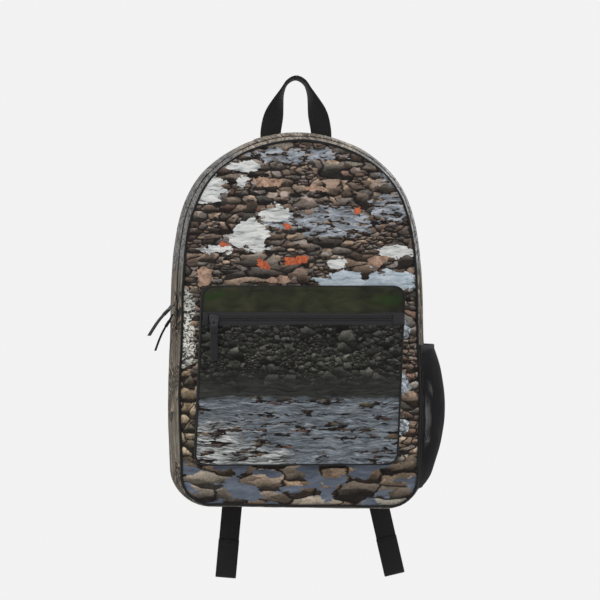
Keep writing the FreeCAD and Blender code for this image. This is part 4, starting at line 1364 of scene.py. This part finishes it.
def bottle_pocket():
    rows, columns = 44, 54
    verts = []
    faces = []
    index = {}
    for i in range(2 * rows + 1):
        for j in range(2 * columns + 1):
            if (i + j) % 2 == 0:
                index[i, j] = len(verts)
                verts.append(bulge_place(i / (2 * rows), j / (2 * columns) * 0.97))
    for i in range(2 * rows + 1):
        for j in range(2 * columns + 1):
            if (i + j) % 2 == 0:
                continue
            ring = [index[k] for k in ((i - 1, j), (i, j + 1), (i + 1, j), (i, j - 1)) if k in index]
            if len(ring) >= 3:
                faces.append(tuple(ring))
    net = mesh_object("bottle_pocket_net", verts, faces, MATERIALS["net"], [tuple(v) for v in verts])
    strands = net.modifiers.new("strands", "WIREFRAME")
    strands.thickness = 1.75 * MM
    strands.use_boundary = True
    strands.use_even_offset = False
    apply_modifiers(net)
    riding(net, BAG, "net", "side_mesh_pocket")
    hem_low = low("mesh_pocket_hem").z
    count = 60
    middle_t = (1 + (hem_low - low("side_mesh_pocket").z)
                / (high("side_mesh_pocket").z - low("side_mesh_pocket").z)) / 2
    path = [bulge_place(i / count, middle_t, 0.3 * MM * math.sin(i * 1.9)) for i in range(count + 1)]
    hem = strip_object("bottle_pocket_hem", path, [UP] * (count + 1), 10 * MM, 1.5 * MM,
                       MATERIALS["elastic"])
    riding(hem, BAG, "elastic", "mesh_pocket_hem")
    edges = [[bulge_place(s, i / 40 * 0.99, 0.2 * MM) for i in range(41)] for s in (0.0, 1.0)]
    edges.append([bulge_place(i / 30, 0.0, 0.2 * MM) for i in range(31)])
    for name, edge in zip(("front", "rear", "foot"), edges):
        riding(tube_object(f"bottle_pocket_{name}_seam", edge, 1.3 * MM, MATERIALS["binding"]),
               BAG, "binding")


# ---------------------------------------------------------------- back and shoulder straps
def arch_sheet(name, inset, place_y, rows, rings, material):
    """A cloth in the bag's outline, set in from it, at the depth that place_y(x, z) gives."""
    centre = Vector((0, REAR, ARCH_Z - 0.35 * (ARCH_Z - BASE)))

    def place(u, v):
        flat = centre.lerp(shell_point(u, REAR, -inset), v)
        return Vector((flat.x, place_y(flat.x, flat.z), flat.z))

    sheet = grid_object(name, rows, rings, place, material, lambda u, v, p: (p.x, p.z, 0.2), closed=True)
    remove_doubles(sheet)
    return sheet


def back_depth(x, z):
    """The padded back: a cloth that dips along the seams between its pads."""
    spine = math.exp(-(x / (9 * MM)) ** 2)
    waist = math.exp(-((z - along(BASE, TOP, 0.47)) / (8 * MM)) ** 2)
    wrinkle = soft_noise((x, 5.0, z), 0.05, 41.0)
    return REAR + (0.6 - 1.6 * max(spine, waist) + 0.35 * wrinkle) * MM


def back():
    cloth = arch_sheet("back_panel_cloth", 0.5 * MM, back_depth, 200, 44, MATERIALS["spacer"])
    thicken(cloth, 1.2 * MM)
    riding(cloth, BAG, "back_mesh", "back_panel")
    foam = arch_sheet("back_foam_sheet", 9 * MM, lambda x, z: REAR - 7.4 * MM, 120, 12, MATERIALS["foam"])
    thicken(foam, 5.4 * MM, offset=1.0)
    riding(foam, BAG, "foam", "back_foam")
    lining = arch_sheet("back_lining_cloth", 6 * MM, lambda x, z: REAR - (9.4 + 0.3 * soft_noise(
        (x, 9.0, z), 0.05, 43.0)) * MM, 120, 24, MATERIALS["lining"])
    thicken(lining, 0.8 * MM)
    riding(lining, BAG, "lining", "back_lining")
    rolled = [shell_point(i / ROUND, REAR - 10 * MM, -5.5 * MM) for i in range(ROUND)]
    riding(tube_object("rear_seam_binding", rolled, 1.6 * MM, MATERIALS["binding"], closed=True),
           BAG, "binding", "seam_binding_rear")
    for side, name in ((-1, "left"), (1, "right")):
        for level, (low_share, high_share) in (("lower", (0.1, 0.45)), ("upper", (0.49, 0.82))):
            bottom, top = along(BASE, TOP, low_share), along(BASE, TOP, high_share)
            outer = 112 * MM if level == "lower" else 104 * MM

            def middle(u, v, side=side, bottom=bottom, top=top, outer=outer):
                z = along(bottom, top, u)
                edge = max(0.0, abs(2 * u - 1) - 0.86) / 0.14
                inset = 16 * MM * (1 - math.sqrt(max(0.0, 1 - edge ** 2)))
                x = along(9 * MM + 0.3 * inset, outer - inset, v) * side
                return Vector((x, REAR + 1.9 * MM, z))

            pad, seam = pillow(f"back_pad_{level}_{name}", 36, 26, middle, lambda u: BACKWARD * side,
                               2.1 * MM, MATERIALS["spacer"])
            inflate(pad, seam, 3.0, 1.6 * MM)
            riding(pad, BAG, "back_mesh")


def strap_lines(name):
    """The strap's middle line from its top to its lower end, and its leaned width direction."""
    top, foot = pivot(f"shoulder_strap_{name}_swing"), pivot(f"ladder_lock_{name}_tilt")
    lean = Vector((foot.x - top.x, 0, foot.z - top.z)).normalized()
    return top, foot, lean, Vector((-lean.z, 0, lean.x))


def shoulder_strap(name):
    body = f"shoulder_strap_{name}"
    node = f"strap_pad_{name}"
    top, _, lean, across = strap_lines(name)
    start_z, end_z = top.z - 1.5 * MM, low(node).z + 1.5 * MM
    half_thick = 5.2 * MM
    depths = (low(node).y + 2.5 * MM, high(node).y - half_thick - 2 * MM, low(node).y + 15 * MM)

    def centre_line(u):
        a, b, c = depths
        y = a * (1 - u) ** 2 + (4 * b - a - c) * u * (1 - u) + c * u ** 2
        return top + lean * ((start_z - along(start_z, end_z, u)) / -lean.z) + Vector((0, y - top.y, 0))

    def half_width(u):
        neck = 25 + 5 * ease(u / 0.16)
        taper = 11 * ease((u - 0.72) / 0.25)
        round_end = max(0.0, u - 0.955) / 0.045
        return (neck - taper) * MM * (1 - 0.42 * (1 - math.sqrt(max(0.0, 1 - round_end ** 2))))

    def facing(u):
        step = centre_line(min(1, u + 0.02)) - centre_line(max(0, u - 0.02))
        return step.normalized().cross(across).normalized() * -1

    def middle(u, v):
        return centre_line(u) + across * ((2 * v - 1) * half_width(u))

    pad, seam = pillow(f"shoulder_pad_{name}", 62, 15, middle, facing, half_thick * 0.86,
                       MATERIALS["strap"])
    inflate(pad, seam, 4.0, 2.4 * MM)
    riding(pad, body, "strap_fabric", node)
    rim = [middle(i / 60, 0.0) for i in range(61)]
    rim += [middle(1.0, i / 10) for i in range(1, 11)]
    rim += [middle(1 - i / 60, 1.0) for i in range(1, 61)]
    binding = tube_object(f"shoulder_pad_binding_{name}", rim, 1.5 * MM, MATERIALS["binding"])
    riding(binding, body, "binding")
    lines = []
    for v in (0.09, 0.91):
        path = laid_on(pad, [middle(0.04 + 0.9 * i / 80, v) for i in range(81)], FORWARD, 0.1 * MM)
        lines += stitches(path, BACKWARD)
    riding(merged(f"shoulder_pad_stitches_{name}", lines, MATERIALS["thread"]), body, "binding")
    strap_end(name, body, pad, centre_line, across)


def strap_end(name, body, pad, centre_line, across):
    """The webbing sewn down the pad, looped round the ladder lock's top bar."""
    laid = laid_on(pad, [centre_line(0.62 + 0.36 * i / 24) for i in range(25)], FORWARD, 0.9 * MM)
    bar = pivot(f"ladder_lock_{name}_tilt")
    bar_centre = Vector((bar.x, bar.y, bar.z - 1.5 * MM))
    lower = [bar_centre + Vector((0, 6.2, 14)) * MM, bar_centre + Vector((0, 3.6, 4)) * MM,
             bar_centre + Vector((0, 2.3, -2.6)) * MM, bar_centre + Vector((0, -2.3, -2.6)) * MM,
             bar_centre + Vector((0, -3.6, 4)) * MM, bar_centre + Vector((0, -1.5, 16)) * MM]
    path = laid[:-1] + smooth_path([laid[-1]] + lower, steps=5)
    webbing = strip_object(f"strap_webbing_{name}", path, [across] * len(path), 24.6 * MM, 1.6 * MM,
                           MATERIALS["webbing"])
    riding(webbing, body, "webbing", f"strap_loop_{name}")
    lines = []
    first, last = laid[1], laid[19]
    for share in (-0.42, 0.42):
        edge = [p + across * (24.6 * MM * share) + BACKWARD * (0.9 * MM) for p in laid[1:20]]
        lines += stitches(edge, BACKWARD)
    for a, b in ((laid[12], last), (laid[1], laid[8])):
        for one, two in ((-0.42, 0.42), (0.42, -0.42)):
            lines += stitches([a + across * (24.6 * MM * one) + BACKWARD * (1.0 * MM),
                               b + across * (24.6 * MM * two) + BACKWARD * (1.0 * MM)], BACKWARD)
    for p in (first, laid[8], laid[12], last):
        lines += stitches([p + across * (24.6 * MM * side) + BACKWARD * (1.0 * MM)
                           for side in (-0.42, 0.42)], BACKWARD)
    riding(merged(f"strap_webbing_stitches_{name}", lines, MATERIALS["thread"]), body, "webbing")


def lower_webbing(name):
    """The webbing from the bag's bottom corner to the ladder lock, and the tab that holds it."""
    anchor = f"strap_anchor_{name}"
    lock = f"ladder_lock_{name}"
    tail_pivot = pivot(f"strap_tail_{name}_swing")
    tab_centre = (low(anchor) + high(anchor)) / 2
    start = Vector((tab_centre.x, low(anchor).y + 2 * MM, high(anchor).z - 9 * MM))
    lock_middle = (low(lock).y + high(lock).y) / 2
    end = Vector((tail_pivot.x, lock_middle - 3.2 * MM, tail_pivot.z + 1 * MM))
    belly = start.lerp(end, 0.5) + Vector((0, 2.5, -5)) * MM
    path = smooth_path([start, start.lerp(belly, 0.5) + Vector((0, 0.4, -1.5)) * MM, belly,
                        belly.lerp(end, 0.6) + Vector((0, 0.5, -1)) * MM, end], steps=10)
    run = (end - start).normalized()
    across = []
    level = Vector((run.z, 0, -run.x)).normalized()
    if level.x < 0:
        level = -level
    for i in range(len(path)):
        turn = ease(i / (len(path) - 1))
        across.append(level.lerp(strap_lines(name)[3], turn).normalized())
    for i in range(1, len(across)):
        if across[i].dot(across[0]) < 0:
            across[i] = -across[i]
    piece = strip_object(f"lower_webbing_cloth_{name}", path, across, 24.6 * MM, 1.6 * MM,
                         MATERIALS["webbing"])
    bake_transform(piece)
    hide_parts(f"lower_webbing_{name}")
    tab, _ = soft_block(f"strap_anchor_tab_{name}", low(anchor), high(anchor), 5 * MM, 0.9,
                        MATERIALS["strap"])
    riding(tab, BAG, "strap_fabric", anchor)
    box_low, box_high = low(anchor), high(anchor)
    corners = [Vector((x, box_high.y - 0.2 * MM, z)) for x, z in (
        (box_low.x + 4 * MM, box_low.z + 4 * MM), (box_high.x - 4 * MM, box_low.z + 4 * MM),
        (box_high.x - 4 * MM, box_high.z - 4 * MM), (box_low.x + 4 * MM, box_high.z - 4 * MM))]
    lines = stitches(corners, BACKWARD, closed=True)
    lines += stitches([corners[0], corners[2]], BACKWARD) + stitches([corners[1], corners[3]], BACKWARD)
    riding(merged(f"strap_anchor_stitches_{name}", lines, MATERIALS["thread"]), BAG, "binding")


def strap_tail(name):
    """The free end hanging from the lock, its last stretch folded back and sewn down."""
    node = f"strap_tail_{name}"
    body = node
    hinge = pivot(f"strap_tail_{name}_swing")
    axis = Vector(JOINTS[f"strap_tail_{name}_swing"]["axis"])
    down = axis.cross(BACKWARD).normalized()
    if down.z > 0:
        down = -down
    span = (hinge.z - low(node).z) / -down.z - 2.5 * MM
    middle_y = low(node).y + 1.1 * MM
    count = 44
    path = []
    for i in range(count + 1):
        t = i / count
        wave = 1.0 * MM * math.sin(t * 6.0 + hinge.x * 30)
        place = hinge + down * (span * t)
        entry = 3.0 * MM * max(0.0, 1 - t / 0.07) ** 2
        path.append(Vector((place.x, middle_y + wave - entry, place.z)))
    strip = strip_object(f"strap_tail_cloth_{name}", path, [axis] * (count + 1), 24.6 * MM, 1.6 * MM,
                         MATERIALS["webbing"])
    riding(strip, body, "webbing", node)
    hem = round(count * (1 - 47 * MM / span))
    folded = [p + BACKWARD * (1.8 * MM) for p in path[hem:]]
    front_fold = [p + FORWARD * (1.3 * MM) for p in path[hem:]]
    turn = [path[-1] + down * (1.2 * MM)]
    for label, layer in (("back", folded), ("front", front_fold)):
        piece = strip_object(f"strap_tail_hem_{label}_{name}", layer + turn, [axis] * (len(layer) + 1),
                             25.4 * MM, 1.7 * MM, MATERIALS["webbing"])
        riding(piece, body, "webbing")
    lines = []
    for share in (0.05, 0.12):
        spot = path[hem].lerp(path[-1], share) + FORWARD * (2.0 * MM)
        lines += stitches([spot + axis * (10.8 * MM * side) for side in (-1, 1)], FORWARD, pitch=2.4 * MM,
                          length=1.7 * MM)
    riding(merged(f"strap_tail_stitches_{name}", lines, MATERIALS["thread"]), body, "webbing")


def yoke():
    low_corner, high_corner = low("shoulder_yoke"), high("shoulder_yoke")
    band, _ = soft_block("shoulder_yoke_cloth", low_corner - UP * (7 * MM), high_corner, 6 * MM, 1.0,
                         MATERIALS["strap"])
    riding(band, BAG, "strap_fabric", "shoulder_yoke")
    lines = []
    for z in (low_corner.z - 4 * MM, high_corner.z - 4 * MM):
        line = [Vector((along(low_corner.x + 6 * MM, high_corner.x - 6 * MM, i / 40),
                        high_corner.y + 2 * MM, z)) for i in range(41)]
        lines += stitches(laid_on(band, line, FORWARD, 0.1 * MM), BACKWARD)
    riding(merged("shoulder_yoke_stitches", lines, MATERIALS["thread"]), BAG, "binding")


# ---------------------------------------------------------------- inside the bag
def laptop_sleeve():
    low_corner, high_corner = low("laptop_sleeve"), high("laptop_sleeve")

    def place(u, v):
        x = along(low_corner.x, high_corner.x, v)
        z = along(low_corner.z, high_corner.z, u)
        edge = min(1.0, 8 * min(u, v, 1 - v))
        slack = soft_noise((x, 3.0, z), 0.07, 51.0) * 1.6 * MM * u
        return Vector((x, along(high_corner.y - 1.5 * MM, low_corner.y + 1.8 * MM, ease(edge)) + slack, z))

    front = grid_object("laptop_sleeve_cloth", 50, 50, place, MATERIALS["lining"])
    thicken(front, 0.9 * MM, offset=0.0)
    riding(front, BAG, "lining", "laptop_sleeve")
    count = 48
    path = [place(1.0, i / count) + UP * (1.5 * MM) for i in range(count + 1)]
    binding = strip_object("laptop_sleeve_binding", path, [UP] * (count + 1), 7 * MM, 2.2 * MM,
                           MATERIALS["binding"])
    riding(binding, BAG, "binding", "sleeve_binding")
    tab_low, tab_high = low("sleeve_strap"), high("sleeve_strap")
    path = [Vector((0, tab_low.y + 0.4 * MM * math.sin(i * 0.8), along(tab_low.z, tab_high.z, i / 10)))
            for i in range(11)]
    tab = strip_object("laptop_sleeve_strap", path, [RIGHT] * 11, 26 * MM, 1.2 * MM,
                       MATERIALS["webbing"])
    riding(tab, BAG, "webbing", "sleeve_strap")


def moulded(nodes, material, width):
    """CAD pieces whose shape is right: they get their finish and rounded edges."""
    for node in nodes:
        piece = frame["nodes"][node]
        piece.data.materials.clear()
        piece.data.materials.append(material)
        rounding = piece.modifiers.new("rounding", "BEVEL")
        rounding.width = width
        rounding.segments = 3
        rounding.limit_method = "ANGLE"


body_seams()
linings()
main_zip()
front_pocket()
pocket_zip()
sliders_and_pulls()
handle()
bottle_pocket()
back()
yoke()
laptop_sleeve()
for side_name in ("left", "right"):
    shoulder_strap(side_name)
    lower_webbing(side_name)
    strap_tail(side_name)
moulded(["ladder_lock_left", "ladder_lock_right"], MATERIALS["plastic"], 0.8 * MM)
moulded(["main_pull_lower_tab", "main_pull_upper_tab", "pocket_pull_tab"], MATERIALS["metal"], 0.25 * MM)
moulded(["bottom_board"], MATERIALS["board"], 0.8 * MM)


# ---------------------------------------------------------------- floor, light and camera
FLOOR_RADIUS = 3.2
FLOOR_DROP = 0.95


def stage():
    sides = 96
    rim = [Vector((math.cos(2 * math.pi * k / sides), math.sin(2 * math.pi * k / sides), 0)) * FLOOR_RADIUS
           for k in range(sides)]
    floor = mesh_object("floor", rim, [tuple(range(sides))],
                        smooth_solid("floor_paint", (0.8, 0.8, 0.8), 0.9))
    floor.location.z = BASE - FLOOR_DROP
    world = bpy.data.worlds.new("studio")
    world.use_nodes = True
    world.node_tree.nodes["Background"].inputs[0].default_value = (1.0, 1.0, 1.0, 1)
    world.node_tree.nodes["Background"].inputs[1].default_value = 0.89
    bpy.context.scene.world = world
    bpy.context.scene.view_settings.view_transform = "Standard"


def area_light(name, place, size, power):
    data = bpy.data.lights.new(name, "AREA")
    data.shape = "DISK"
    data.size = size
    data.energy = power
    lamp = bpy.data.objects.new(name, data)
    lamp.location = place
    aim = Vector((0, -0.05, (BASE + TOP) / 2)) - Vector(place)
    lamp.rotation_euler = aim.to_track_quat("-Z", "Y").to_euler()
    bpy.context.scene.collection.objects.link(lamp)


def camera():
    distance = 3.0
    azimuth = math.radians(-3)
    frame_width = 0.718
    aim_side, aim_rise = 2.4 * MM, 249 * MM
    aim = Vector((aim_side, low("front_panel_lower").y / 2, BASE + aim_rise))
    data = bpy.data.cameras.new("camera")
    data.sensor_width = 36
    data.lens = 36 * distance / frame_width
    eye = bpy.data.objects.new("camera", data)
    back = Vector((math.sin(azimuth), -math.cos(azimuth), 0.0))
    eye.location = aim + back * distance
    eye.rotation_euler = (-back).to_track_quat("-Z", "Y").to_euler()
    bpy.context.scene.collection.objects.link(eye)
    bpy.context.scene.camera = eye


stage()
area_light("key", (-1.3, -1.9, 1.1), 1.2, 20)
area_light("fill", (1.7, -1.6, 0.2), 1.6, 6)
area_light("back", (0.6, 1.8, 0.9), 1.2, 16)
camera()
